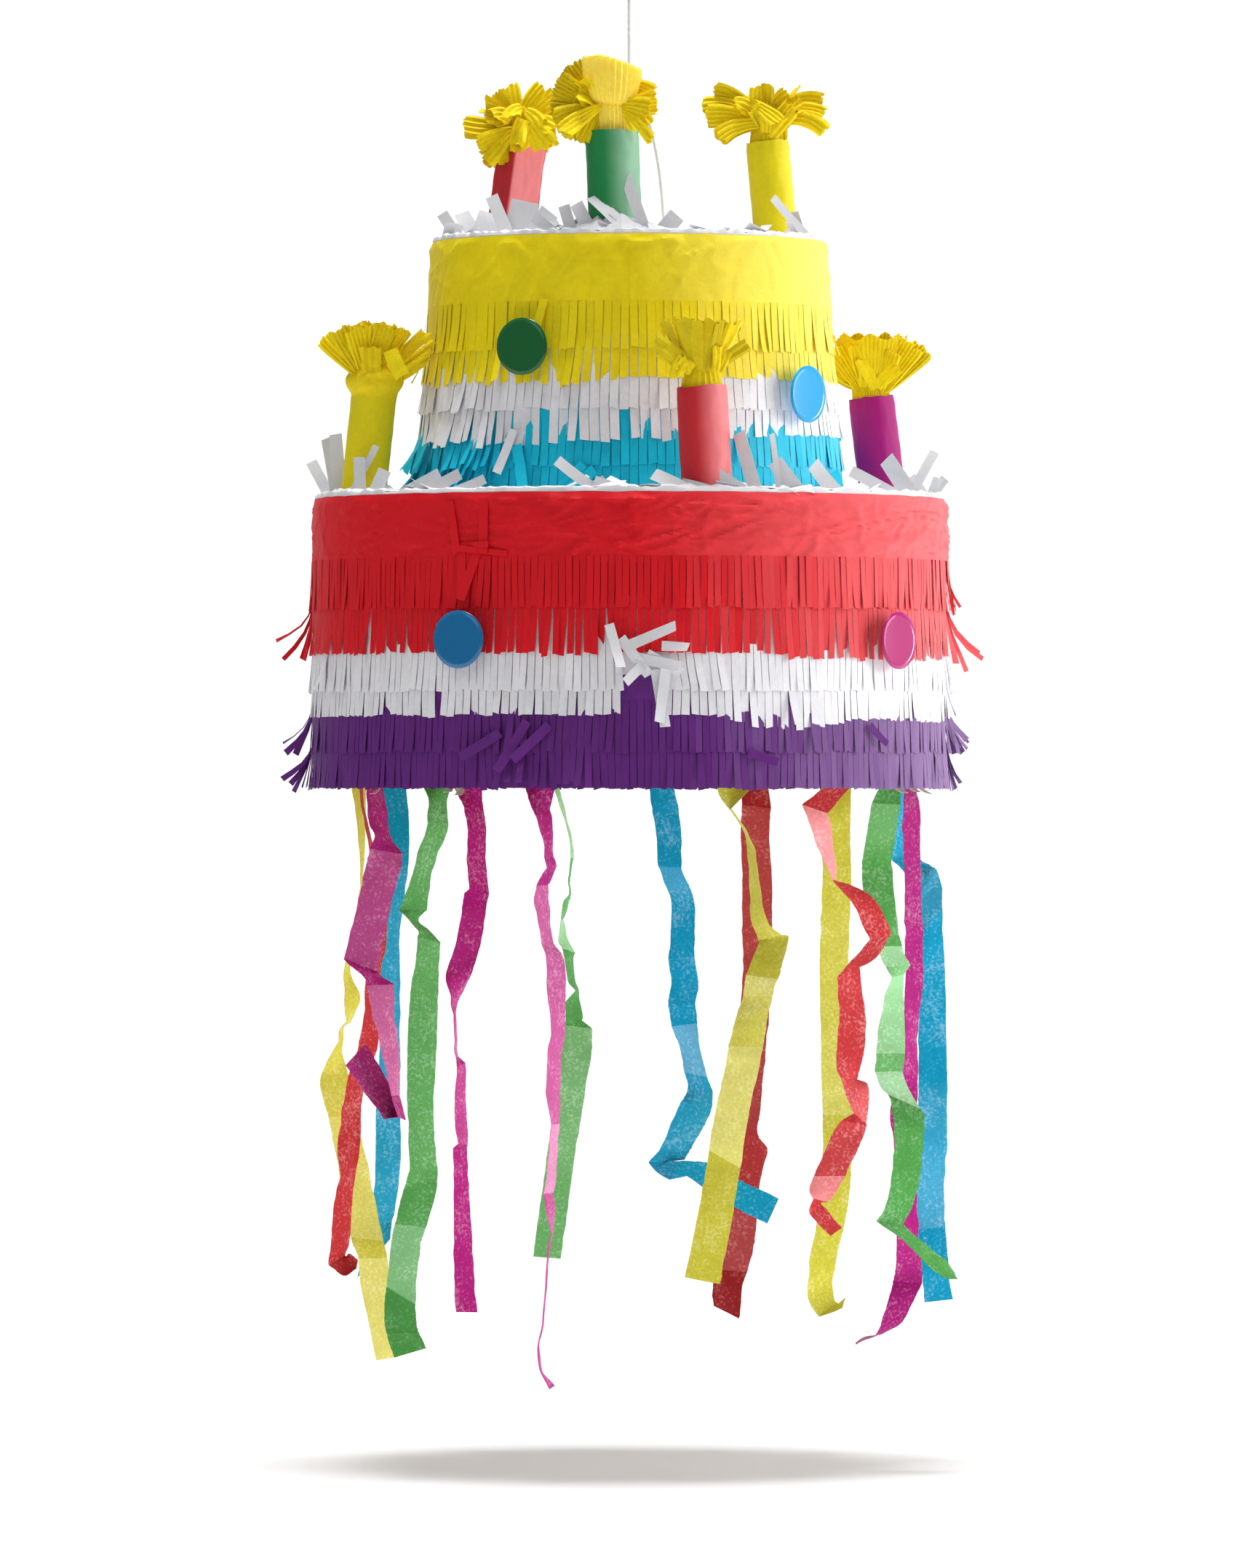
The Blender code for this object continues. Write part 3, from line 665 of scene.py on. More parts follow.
def tissue_height(x, y, feet, seed, peak_height):
    """Height of the crumpled white tissue over a deck, heaped up round the candles."""
    rough = abs(ripple(x * 60.0, y * 60.0, seed)) + 0.7 * abs(ripple(x * 150.0, y * 150.0, seed + 2.0))
    peak = mound(Vector((x, y, 0.0)), feet)
    return (1.8 + 2.6 * rough + peak_height * peak * (0.45 + 1.1 * rough)) * MM


def rim_height(spot, seed, unevenness):
    """Height of the white tissue over a deck's rim, in metres."""
    return (1.6 + unevenness * abs(ripple(spot[0] * 90, spot[1] * 90, seed))) * MM


def upper_icing():
    """Crumpled tissue over the upper deck, cut round the fill flap, which carries its own part."""
    cell, gap = 4 * MM, 0.4 * MM        # the gap is cut inside the flap's edge
    low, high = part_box("fill_flap")
    feet, rim = candle_feet("upper"), UPPER.r_top - RIM_INSET
    cells = int(rim / cell) + 1
    for name, on_flap, body in (("upper_icing_sheet", False, "pinata"), ("flap_icing_sheet", True, "flap")):
        bm = bmesh.new()
        grid = {}
        for i in range(-cells, cells):
            for j in range(-cells, cells):
                centre = Vector(((i + 0.5) * cell, (j + 0.5) * cell, 0.0))
                inside = low[0] < centre.x < high[0] and low[1] < centre.y < high[1]
                if centre.length > rim - 2 * MM or inside != on_flap:
                    continue
                corners = []
                for a, b in ((i, j), (i + 1, j), (i + 1, j + 1), (i, j + 1)):
                    if (a, b) not in grid:
                        grid[a, b] = bm.verts.new((a * cell, b * cell, 0.0))
                    corners.append(grid[a, b])
                bm.faces.new(corners)
        for vert in bm.verts:
            x, y = vert.co.x, vert.co.y
            reach = math.hypot(x, y)
            if vert.is_boundary and reach > rim - 8 * MM:
                vert.co.x, vert.co.y = x * rim / reach, y * rim / reach
                vert.co.z = UPPER.top + rim_height((x, y), 3.0, 1.6)
            elif on_flap and vert.is_boundary:
                vert.co.x -= math.copysign(gap, x)
                vert.co.y += gap if y < (low[1] + high[1]) / 2 else -gap
                vert.co.z = UPPER.top + 1.0 * MM
            else:
                vert.co.z = UPPER.top + tissue_height(x, y, feet, 1.0, 9.0)
        mesh = mesh_of(name, bm, material("icing"))
        paint_tones(mesh, [1.0] * len(mesh.vertices))
        sheet = placed(name, mesh)
        thicken(sheet, ICING_PAPER, offset=-1.0)
        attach(sheet, body)
        if body == "pinata":
            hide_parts("upper_icing")


def lower_icing():
    """Crumpled tissue over the ring of the lower deck."""
    feet, inner, rim = candle_feet("lower"), UPPER.r_bottom + 3 * MM, LOWER.r_top - RIM_INSET
    around, across = 260, 14
    rows = []
    for k in range(across + 1):
        r = inner + (rim - inner) * k / across
        row = []
        for c in range(around):
            spot = outward(360.0 * c / around) * r
            height = tissue_height(spot.x, spot.y, feet, 5.0, 4.0)
            if k == across:
                height = rim_height(spot, 6.0, 1.8)
            row.append(spot + UP * (LOWER.top + height))
        rows.append(row)
    cuttings = Cuttings()
    cuttings.strip(rows, 1.0, closed=True)
    sheet = cuttings.piece("lower_icing_sheet", "icing", ICING_PAPER, "pinata", "tissue_white", smooth=False)
    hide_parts("lower_icing")


def standing_shreds():
    """The shreds that stand round the rims, and those scattered over the decks."""
    rng = random.Random(7)
    cuttings = Cuttings()
    for deck, shreds in SHREDS.items():
        for azimuth, radius, length, right, out, width in shreds:
            start = outward(azimuth) * radius * MM + UP * (TIERS[deck].top + 1.0 * MM)
            heading = (UP + Vector((1, 0, 0)) * math.tan(math.radians(right))
                       + outward(azimuth) * math.tan(math.radians(out)))
            facing = Vector((0.25 * rng.uniform(-1, 1), -1.0, 0.2))
            bend = rng.choice((-1, 1)) * rng.uniform(8, 35)
            curl_strip(cuttings, start, heading, facing, length * MM, width * MM, bend,
                       rng.uniform(-35, 35), rng.uniform(*SHRED_TONES))
    for _ in range(SCATTERED_SHREDS):
        deck = rng.choice(("upper", "lower", "lower"))
        azimuth = rng.uniform(0, 360)
        if deck == "upper":
            radius = rng.uniform(*ON_UPPER)
        else:
            radius = rng.choice((rng.uniform(*BY_LOWER_RIM), rng.uniform(*ON_LOWER)))
        start = outward(azimuth) * radius * MM + UP * (TIERS[deck].top + 2.2 * MM)
        heading = (sideways(azimuth) * rng.choice((-1, 1)) + UP * rng.uniform(0.05, 0.35)
                   + outward(azimuth) * rng.uniform(-0.6, 0.15))
        length, width = rng.uniform(*SCATTERED_LENGTHS) * MM, rng.uniform(*SCATTERED_WIDTHS) * MM
        curl_strip(cuttings, start, heading, UP, length, width, rng.uniform(*SCATTERED_BENDS),
                   rng.uniform(*SCATTERED_TWISTS), rng.uniform(*SCATTERED_TONES))
    cuttings.piece("standing_shreds", "icing", SHRED_PAPER, "pinata", "tissue_white")


# From the wall up and in over the deck: mm inside the rim, mm above the deck, unevenness.
HEM = [(0.1, 0.2, 0.0), (-0.2, 1.0, 0.5), (0.3, 2.0, 1.4), (2.5, 2.6, 1.6), (6.0, 2.0, 1.0)]


def rim_hems():
    """The folded edge of white tissue that shows above each coloured rim."""
    around = 360
    for tier_name, tier in TIERS.items():
        rows = []
        for inset, height, uneven in HEM:
            row = []
            for c in range(around):
                spot = outward(360.0 * c / around)
                lump = (abs(ripple(spot.x * 14.0, spot.y * 14.0, tier.r_top * 40.0))
                        + 0.5 * ripple(spot.x * 40.0, spot.y * 40.0, tier.r_top * 90.0))
                up = tier.top + (height + uneven * lump * 1.6) * MM
                row.append(spot * (tier.r_top - inset * MM) + UP * up)
            rows.append(row)
        cuttings = Cuttings()
        cuttings.strip(rows, closed=True)
        cuttings.piece(tier_name + "_rim_hem", "icing", SHRED_PAPER, "pinata", "tissue_white")


# Strips knotted over the lower white rows: azimuth, drop below the deck mm, heading to the right
# and up, length mm, width mm, bend.
SCRAPS = [
    (-3.5, 67, (0.30, -1.0), 24, 5.0, 25), (-1.0, 79, (1.0, 0.42), 30, 5.5, 25),
    (-1.5, 74, (0.75, -1.0), 24, 5.5, -20), (1.0, 84, (1.0, -0.20), 24, 5.5, 20),
    (3.0, 82, (1.0, -0.55), 20, 5.0, -20), (5.5, 78, (1.0, -0.05), 14, 5.0, 30),
    (4.5, 90, (0.15, -1.0), 30, 5.5, 12), (6.5, 84, (-0.15, -1.0), 34, 5.5, 14),
    (2.5, 87, (-0.6, -0.6), 14, 5.0, 15),
]
KNOT_STAND = 5.5 * MM       # how far they stand off the wall
# Strips that hang from under the base: azimuth, radius mm, length mm.
UNDER_SCRAPS = [(-58, 152, 9), (-38, 150, 7), (-36, 148, 10), (66, 150, 8), (74, 151, 7), (82, 152, 9)]
# Loose tabs, by colour: tier, azimuth, drop below its deck mm, heading to the right and up, length
# mm, width mm, bend.
LOOSE_TABS = {
    "yellow": [
        ("upper", -24, 33, (-0.22, -1.0), 27, 4.5, 14),
    ],
    "white": [
        ("upper", -32, 100, (-0.35, -1.0), 24, 5.0, 10),
    ],
    "blue": [
        ("upper", -31, 108, (0.3, -1.0), 24, 6.0, 16), ("upper", -9, 121, (-0.9, -0.7), 22, 5.5, 18),
        ("upper", -12, 118, (-0.7, -0.8), 22, 5.0, 20), ("upper", 62, 128, (0.9, 0.35), 15, 9.0, 10),
    ],
    "red": [
        ("lower", -33.5, 4, (0.22, -1.0), 27, 4.5, 3), ("lower", -26.5, 3, (0.02, -1.0), 28, 5.0, 3),
        ("lower", -34, 27, (1.0, 0.03), 27, 3.2, 2), ("lower", -27.5, 28, (-0.35, -1.0), 28, 5.0, 6),
        ("lower", -31, 28, (0.05, -1.0), 24, 5.0, 6), ("lower", -22, 31, (-0.9, 0.1), 26, 3.0, 3),
    ],
    "purple": [
        ("lower", -14, 118, (-0.7, -0.7), 26, 5.0, 16), ("lower", -23, 122, (-0.8, -0.5), 24, 5.0, 14),
        ("lower", -18, 116, (-0.5, -0.9), 30, 5.0, 18), ("lower", 47, 118, (0.5, -0.5), 14, 4.5, 14),
        ("lower", 21, 132, (0.9, -0.3), 16, 4.5, 14),
    ],
}
HIGH_DROP = 32              # loose tabs above this drop lie closer to their wall


def knotted_scraps():
    """The white strips knotted round the lower tier, those under the base, and the loose tabs."""
    cuttings = Cuttings()
    for azimuth, drop, (right, up), length, width, bend in SCRAPS:
        z = LOWER.top - drop * MM
        start = outward(azimuth) * (LOWER.radius(z) + KNOT_STAND) + UP * z
        heading = sideways(azimuth) * right + UP * up + outward(azimuth) * 0.10
        curl_strip(cuttings, start, heading, outward(azimuth), length * MM, width * MM, bend, bend * 1.2,
                   0.99)
    for azimuth, radius, length in UNDER_SCRAPS:
        start = outward(azimuth) * radius * MM + UP * (LOWER.bottom - 0.6 * MM)
        heading = outward(azimuth) * 0.5 + sideways(azimuth) * 0.7 + DOWN * 0.8
        curl_strip(cuttings, start, heading, outward(azimuth), length * MM, 5 * MM, 50, 40, 0.97)
    cuttings.piece("knotted_scraps", "icing", SCRAP_PAPER, "pinata", "tissue_white")

    for colour, tabs in LOOSE_TABS.items():
        cuttings = Cuttings()
        for tier_name, azimuth, drop, (right, up), length, width, bend in tabs:
            tier = TIERS[tier_name]
            z = tier.top - drop * MM
            stand = 2.0 if drop < HIGH_DROP else 3.4
            start = outward(azimuth) * (tier.radius(z) + stand * MM) + UP * z
            heading = sideways(azimuth) * right + UP * up + outward(azimuth) * (0.03 * stand)
            curl_strip(cuttings, start, heading, outward(azimuth), length * MM, width * MM, bend, bend)
        cuttings.piece("loose_tabs_" + colour, colour, TISSUE, "pinata", "tissue_" + colour)


# ---- dots --------------------------------------------------------------------------------------
DOT_RADIUS, DOT_CARD = 14.7 * MM, 0.7 * MM
DOT_BOW = 0.2 * MM          # how far a dot's edge falls back from its middle
DOT_FORWARD = 0.8           # mm a front dot is moved out from the middle of its CAD dot
REAR_STAND = 6.5 * MM       # how far the dots at the back stand off their wall


def dot(name, kind, azimuth, centre):
    """A glossy card disc, very slightly domed."""
    bm = bmesh.new()
    rings, around = 6, 64
    bmesh.ops.create_circle(bm, cap_ends=True, cap_tris=True, segments=around, radius=DOT_RADIUS / rings)
    rim = [edge for edge in bm.edges if edge.is_boundary]
    for ring in range(2, rings + 1):
        grown = bmesh.ops.extrude_edge_only(bm, edges=rim)["geom"]
        for vert in grown:
            if isinstance(vert, bmesh.types.BMVert):
                vert.co *= ring / (ring - 1)
        rim = [edge for edge in bm.edges if edge.is_boundary]
    out, side = outward(azimuth), sideways(azimuth)
    for vert in bm.verts:
        x, z = vert.co.x, vert.co.y
        bow = (x * x + z * z) / (DOT_RADIUS * DOT_RADIUS)
        vert.co = centre + side * x + UP * z + out * (DOT_CARD - DOT_BOW * bow)
    mesh = mesh_of(name, bm, material(kind))
    for face in mesh.polygons:
        face.use_smooth = True
    obj = placed(name, mesh)
    thicken(obj, DOT_CARD)
    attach(obj, "pinata")
    return obj


def dots():
    """The four dots at the front, and four at the back, which the photograph doesn't show."""
    for tier_name, side, kind, azimuth in FRONT_DOTS:
        node = "%s_%s_dot" % (tier_name, side)
        made = dot(node + "_disc", kind, azimuth, middle_of(node) + outward(azimuth) * DOT_FORWARD * MM)
        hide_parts(node)
    for tier_name, kind, azimuth, drop in REAR_DOTS:
        z = -drop * MM
        centre = outward(azimuth) * (TIERS[tier_name].radius(z) + REAR_STAND) + UP * z
        dot("%s_rear_%s" % (tier_name, kind), kind, azimuth, centre)


# ---- candles -----------------------------------------------------------------------------------
# Place, tube colour, radius mm, lean to the right in degrees, corners of the folded tube (0 is
# round) and their turn, how much painted light makes its right side paler, flame.
CANDLES = [
    ("upper_front", "tube_green", 13.4, -2, 0, 0, 0.6, "bonnet"),
    ("upper_left", "tube_red", 10.6, 8, 4, 12, 0.55, "shaggy"),
    ("upper_right", "tube_yellow", 11.0, -5, 0, 0, 0.1, "mop"),
    ("lower_front", "tube_red", 12.7, -3, 0, 0, 0.5, "fan"),
    ("lower_left", "tube_yellow", 11.4, 6, 0, 0, 0.0, "wing"),
    ("lower_right", "tube_magenta", 11.8, -7, 0, 0, 0.05, "cup"),
    ("lower_back", "tube_blue", 12.6, 0, 0, 0, 0.3, "cup"),
]
TUBE_CARD, CREPE = 0.6 * MM, 0.18 * MM
TUBE_TONE = 0.92
LIT_FROM = math.radians(40)     # round a tube from the right, where its painted light is palest
CRUMPLED_FROM = 0.92            # share of a tube's height where its crumpled top starts
FLATTENED = 0.88                # a folded tube's flat sides, as a share of its radius
SEAM_WIDTH = 0.5                # radians of the overlap of a rolled tube, which stands out
SEAM_TURN, SEAM_SPIRAL = 1.1, 0.35      # where it is, and how far it turns on its way up


def candle(index, place, colour, tube_radius, lean, corners, corner_turn, painted_lit_side, flame):
    """A rolled or folded tube of card, and the crepe flame in its top."""
    node = "candle_tube_" + place
    tilt, corner_turn = math.tan(math.radians(lean)), math.radians(corner_turn)
    height = top_of(node) - bottom_of(node)
    foot = plan_middle(node) + UP * bottom_of(node) - Vector((1, 0, 0)) * tilt * height / 2
    axis = Vector((tilt, 0.0, 1.0)).normalized()
    right = Vector((1.0, 0.0, -tilt)).normalized()
    back = axis.cross(right)
    around, levels = 64, 26
    sector = math.tau / corners if corners else math.tau
    rows, tones = [], []
    for c in range(around):
        angle = math.tau * c / around
        if corners:     # a flat side has one tone
            angle = round((angle - corner_turn) / sector - 0.5) * sector + sector / 2 + corner_turn
        # painted light: the side that faces LIT_FROM is painted paler, as a painted highlight
        tones.append(TUBE_TONE + painted_lit_side * max(0.0, math.cos(angle - LIT_FROM)) ** 2)
    for k in range(levels + 1):
        s = k / levels
        row = []
        for c in range(around):
            angle = math.tau * c / around
            x, y = math.cos(angle), math.sin(angle)
            r = tube_radius * MM * (1.0 + 0.02 * ripple(x * 2, y * 2 + s * 3, index))
            r += 0.3 * MM * ripple(x * 5, y * 5, s * 7 + index)
            if corners:
                off = (angle - corner_turn) % sector - sector / 2
                r *= min(1.2, FLATTENED / math.cos(off))
            seam = (angle + SEAM_TURN - SEAM_SPIRAL * s) % math.tau
            if seam < SEAM_WIDTH:
                r += TUBE_CARD * (1.0 - seam / SEAM_WIDTH)
            crumpled = max(0.0, s - CRUMPLED_FROM) / (1.0 - CRUMPLED_FROM)
            r -= crumpled * 0.8 * MM * (0.5 + 0.5 * ripple(angle * 2.5, 3.0, index))
            rise = 1.0 * MM * ripple(x * 2, y * 2, index + 20) if k == levels else 0.0
            row.append(foot + axis * (height * s + rise) + right * r * x - back * r * y)
        rows.append(row)
    cuttings = Cuttings()
    cuttings.strip(rows, [tones] * len(rows), closed=True)
    tube = cuttings.piece("candle_%s_tube" % place, colour, TUBE_CARD, "pinata", colour)
    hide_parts(node)

    crepe = Cuttings()
    FLAMES[flame](crepe, random.Random(40 + index), foot + axis * height, tube_radius)
    made = crepe.piece("candle_%s_flame" % place, "crepe", CREPE, "pinata", "crepe_yellow")
    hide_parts("candle_flame_" + place)


def leaf(cuttings, rng, head, turn, start, angle, length, root, tip, bend=0.0, lift=10.0, twist=0.0, pleats=4,
         tone=0.95, arch=0.0, pleat_depth=0.9):
    """One crepe end. Seen from the side the flame is turned to, it leaves start (right, nearer, up,
    in mm) at an angle from rightwards, widens from root to tip, bends in that plane, and lifts and
    arches towards the viewer, in degrees."""
    side, near = sideways(turn), outward(turn)
    parts, across_points = 9, 2 * pleats + 1
    place = head + (side * start[0] + near * start[1] + UP * start[2]) * MM
    rows = []
    seed = rng.uniform(0, 50)
    for i in range(parts + 1):
        s = i / parts
        aim, rise = math.radians(angle + bend * s), math.radians(lift + arch * s)
        flat = side * math.cos(aim) + UP * math.sin(aim)
        heading = flat * math.cos(rise) + near * math.sin(rise)
        face = near * math.cos(rise) - flat * math.sin(rise)
        across = face.cross(heading)
        spin = math.radians(twist * s)
        across, face = (across * math.cos(spin) + face * math.sin(spin),
                        face * math.cos(spin) - across * math.sin(spin))
        width = root + (tip - root) * min(1.0, s * 1.15) ** 0.8
        row = []
        for j in range(across_points):
            u = j / (across_points - 1) - 0.5
            fold = (0.5 if j % 2 else -0.5) * pleat_depth * (0.5 + 0.5 * s)
            crumple = 1.2 * s * ripple(u * 2.5 + seed, s * 2.5, seed)
            back_swept = -abs(u) * (tip - root) * 0.35 * s
            row.append(place + (across * (u * width) + face * (fold + crumple) + heading * back_swept) * MM)
        if i == parts:
            row = [p + heading * rng.uniform(-1.1, 0.9) * MM for p in row]
        rows.append(row)
        place = place + heading * (length / parts * MM)
    cuttings.strip(rows, tone)


def gathered(cuttings, head, profile, pleats, depth, slope=0.0, scallop=0.0, lobes=7, tone=0.95, seed=1.0):
    """A closed gathered skirt: radii and heights up its side, in sharp upright pleats. Its top may
    slope down to the right, and dip between its lobes."""
    # The tone is painted light: above 1 for a cap in the light, a painted highlight; below 1 for a heart in
    # the shade of its leaves, painted shade.
    route = smooth_route(profile, 4)
    rows, around = [], 2 * pleats
    top = route[-1][1]
    for radius, height in route:
        row = []
        share = max(0.0, height / top)
        for c in range(around):
            angle = math.tau * c / around
            fold = (0.5 if c % 2 else -0.5) * depth * (0.4 + 0.6 * share)
            swell = 1.0 + 0.10 * share * ripple(math.cos(angle) * 1.5, math.sin(angle) * 1.5, seed)
            r = radius * swell + fold
            dip = scallop * share ** 2 * (math.cos(lobes * angle) - 1.0)
            dip += 1.2 * share * ripple(angle * 3.0, seed, 2.0)
            z = height + dip - slope * max(-4.0, r * math.cos(angle)) * share
            row.append(head + Vector((math.cos(angle) * r, math.sin(angle) * r, z)) * MM)
        rows.append(row)
    cuttings.strip(rows, tone, closed=True)


def leaves_at_sides(cuttings, rng, head, count, half, radius, lengths, tips, angles, lifts, twist):
    """Leaves at the right and left of the neck, within half degrees of it: each faces its own way
    and leans to one side of upright."""
    for side in (90, -90):
        for n in range(count):
            turn = side - half + 2 * half * (n + rng.uniform(0.2, 0.8)) / count
            leaf(cuttings, rng, head, turn, (rng.uniform(-3, 3), radius, 12), rng.uniform(*angles),
                 rng.uniform(*lengths), 5.0, rng.uniform(*tips), bend=rng.uniform(-25, 25),
                 lift=rng.uniform(*lifts), arch=rng.uniform(0, 40), twist=rng.uniform(-twist, twist),
                 pleats=3, tone=rng.uniform(0.86, 1.0))


def both_sides(cuttings, rng, head, leaves):
    """The same leaves facing the front and, handed over left to right, the back."""
    for start, angle, length, root, tip, bend, lift, arch, twist, pleats, tone in leaves:
        leaf(cuttings, rng, head, 0, start, angle, length, root, tip, bend, lift, twist, pleats, tone, arch)
        leaf(cuttings, rng, head, 180, (-start[0], start[1], start[2]), 180 - angle, length, root, tip, -bend,
             lift, -twist, pleats, tone, arch)


# Each table of leaves: start (right, nearer, up), angle, length, root width, tip width, bend, lift,
# arch, twist, pleats, tone. Lengths are in mm and angles in degrees.
# A leaf's tone is painted light and shade, with some random spread: leaves turned away from the light, or
# deep in a flame, are painted deeper.
BONNET_LEAVES = [
    ((-8, 1, 12), 122, 26, 5, 17, 10, 2, 0, 8, 8, 0.74),
    ((-8, 3, 12), 146, 25, 4, 15, 8, 6, 0, -10, 7, 0.80),
    ((-9, 2, 12), 176, 23, 4, 18, 6, 4, 0, 14, 8, 0.78),
    ((-9, 5, 12), 200, 22, 4, 15, 8, 8, 0, -12, 6, 0.86),
    ((-6, 9, 12), 208, 25, 3, 12, 14, 12, 6, 40, 4, 0.98),
    ((-6, 7, 12), 236, 21, 4, 15, 12, 10, -10, -16, 6, 0.90),
    ((-7, 5, 13), 252, 20, 5, 12, 8, 8, -8, 20, 5, 0.94),
    ((5, 8, 12), -6, 15, 6, 16, -20, 14, 0, 20, 6, 0.95),
    ((6, 7, 12), -36, 16, 5, 14, -20, 12, 0, -20, 5, 0.97),
    ((7, 5, 12), 14, 17, 6, 13, -12, 8, 0, 26, 6, 0.98),
    ((6, 8, 10), -38, 21, 3.5, 5.5, -18, 12, 0, 20, 2, 1.0),
    ((9, 2, 22), -8, 12, 8, 13, -30, 4, 0, 20, 6, 1.0),
]


def flame_bonnet(cuttings, rng, head, tube):
    """A tall pleated cap pinched above the tube, with folded fans falling to the left."""
    gathered(cuttings, head, [(tube - 4, -6), (tube - 4, 0), (9.8, 6), (9.6, 12), (9.0, 13), (12.0, 17),
                              (14.0, 25), (14.8, 31), (14.4, 36.0), (12.6, 36.6), (5.0, 35.5), (1.0, 35.0)],
             32, 1.7, slope=0.32, tone=1.22, seed=3.0)
    both_sides(cuttings, rng, head, BONNET_LEAVES)
    leaves_at_sides(cuttings, rng, head, 7, 30, 7, (14, 20), (9, 14), (30, 150), (20, 50), twist=30)


SHAGGY_LEAVES = [
    ((-6, 4, 8), 182, 26, 5, 13, -10, 10, 0, 30, 4, 0.90),
    ((-4, 8, 6), 196, 22, 5, 11, 14, 14, 0, -40, 4, 0.88),
    ((-5, 6, 10), 160, 16, 4, 9, 20, 14, 0, 40, 3, 0.86),
    ((-5, 9, 5), 222, 22, 5, 10, 18, 14, -6, 40, 3, 0.93),
    ((-6, 8, 4), 244, 17, 5, 7, 12, 12, -10, -50, 3, 0.90),
    ((-8, 7, 2), 256, 14, 4, 6, 10, 6, 0, 30, 2, 0.92), ((-2, 11, 3), 262, 9, 6, 9, 0, 16, 0, 30, 3, 1.0),
    ((2, 11, 10), -42, 18, 7, 15, -20, 22, -20, 16, 4, 1.0),
    ((4, 10, 12), -12, 14, 6, 12, -24, 20, 0, -24, 4, 0.97),
    ((0, 11, 12), 250, 15, 6, 10, 20, 26, -10, 34, 3, 0.98),
    ((-6, 11, 12), 150, 11, 6, 12, 50, 24, 20, 40, 4, 0.95),
    ((3, 7, 14), 24, 15, 5, 11, 26, 14, 0, 30, 4, 0.95),
    ((0, 6, 16), 60, 17, 5, 11, -20, 10, 0, -30, 4, 1.0), ((-3, 5, 16), 96, 15, 5, 9, 12, 8, 0, 36, 3, 1.0),
    ((-5, 5, 14), 118, 16, 4, 8, 10, 8, 0, -30, 3, 0.94), ((5, 4, 14), 44, 18, 4, 9, 6, 6, 0, 50, 3, 0.92),
    ((5, 3, 8), 4, 12, 6, 13, 10, 6, 0, -30, 4, 0.9),
    ((-1, 12, 18), 200, 10, 5, 10, 60, 30, 20, 20, 3, 1.0),
    ((4, 12, 8), 236, 12, 6, 10, 20, 20, -20, -20, 3, 1.0),
    ((2, 12, 16), 330, 12, 5, 10, -40, 26, 0, 30, 3, 0.98),
]


def flame_shaggy(cuttings, rng, head, tube):
    """A loose tuft of short crumpled ends that falls over the left of the tube."""
    gathered(cuttings, head, [(tube - 3, -6), (tube - 3, 0), (8.0, 5), (9.0, 12), (8.0, 18), (3.0, 22),
                              (0.5, 22)], 24, 1.6, tone=0.85, seed=5.0)
    both_sides(cuttings, rng, head, SHAGGY_LEAVES)
    leaves_at_sides(cuttings, rng, head, 8, 40, 7, (12, 18), (8, 12), (-20, 200), (15, 60), twist=60)


MOP_LEAVES = [
    ((-5, 3, 12), 150, 30, 5, 13, 46, 6, 0, 16, 5, 0.88),
    ((-5, 5, 10), 160, 28, 5, 12, 30, 8, 0, -14, 5, 0.92),
    ((-4, 7, 9), 176, 24, 5, 10, 50, 10, 0, 20, 4, 0.95),
    ((-6, 2, 14), 132, 26, 5, 10, 40, 4, 0, -30, 4, 0.84),
    ((3, 4, 12), 32, 28, 5, 9, -62, 6, 0, -16, 4, 0.95), ((4, 6, 10), 24, 29, 5, 8, -76, 10, 0, 20, 3, 1.0),
    ((4, 2, 14), 44, 27, 5, 10, -64, 2, 0, 24, 4, 0.90), ((2, 9, 1), 52, 19, 5, 6, -8, 10, 0, 30, 2, 1.0),
    ((-8, 10, 20), -34, 19, 4, 10, -8, 20, 0, -24, 4, 1.0),
    ((-4, 6, 16), 104, 13, 6, 11, -30, 14, 0, 40, 4, 0.9),
    ((-2, 5, 16), 80, 14, 6, 12, 20, 10, 0, -40, 4, 0.95),
    ((2, 5, 16), 58, 13, 5, 10, -34, 12, 0, 30, 4, 0.93),
    ((-6, 7, 14), 128, 14, 5, 10, 50, 16, 0, 50, 3, 0.88),
    ((3, 8, 12), 20, 13, 5, 10, 40, 24, 0, -40, 3, 0.95),
    ((8, 3, 14), 40, 13, 3, 5, -40, 6, 0, 50, 2, 0.85), ((8, 2, -1), 84, 8, 4, 5, 10, 0, 0, 0, 2, 0.97),
    ((-3, 9, 8), 110, 12, 5, 9, 10, 12, 30, 30, 3, 0.82),
    ((0, 10, 4), 84, 12, 7, 10, 10, 6, 10, 10, 4, 0.90),
]


def flame_mop(cuttings, rng, head, tube):
    """Long flat ends that arch out to both sides and hang, with a crumpled heart."""
    gathered(cuttings, head, [(tube - 2, -6), (tube - 2.2, 0), (8.0, 6), (7.0, 11), (8.5, 16), (6.0, 22),
                              (1.0, 23)], 26, 1.6, tone=0.82, seed=7.0)
    both_sides(cuttings, rng, head, MOP_LEAVES)
    leaves_at_sides(cuttings, rng, head, 7, 40, 6, (14, 22), (8, 12), (20, 160), (20, 60), twist=50)


def panels(cuttings, rng, head, count, first_turn, root_radius, root_height, length, root, tip, lean, tilt,
           tones):
    """Flat stiff panels that flare from the neck all round, every other one turned the other way."""
    for n in range(count):
        turn = first_turn + 360 * (n + 0.5) / count
        leaf(cuttings, rng, head, turn, (0, root_radius, root_height), 90 + rng.uniform(-3, 3),
             length + rng.uniform(-2.0, 1.5), root, tip * rng.uniform(0.85, 1.15),
             lift=lean + rng.uniform(-3, 3), arch=rng.uniform(-4, 8),
             twist=(tilt if n % 2 else -tilt) + rng.uniform(-8, 8), pleats=2, tone=rng.uniform(*tones),
             pleat_depth=0.5)


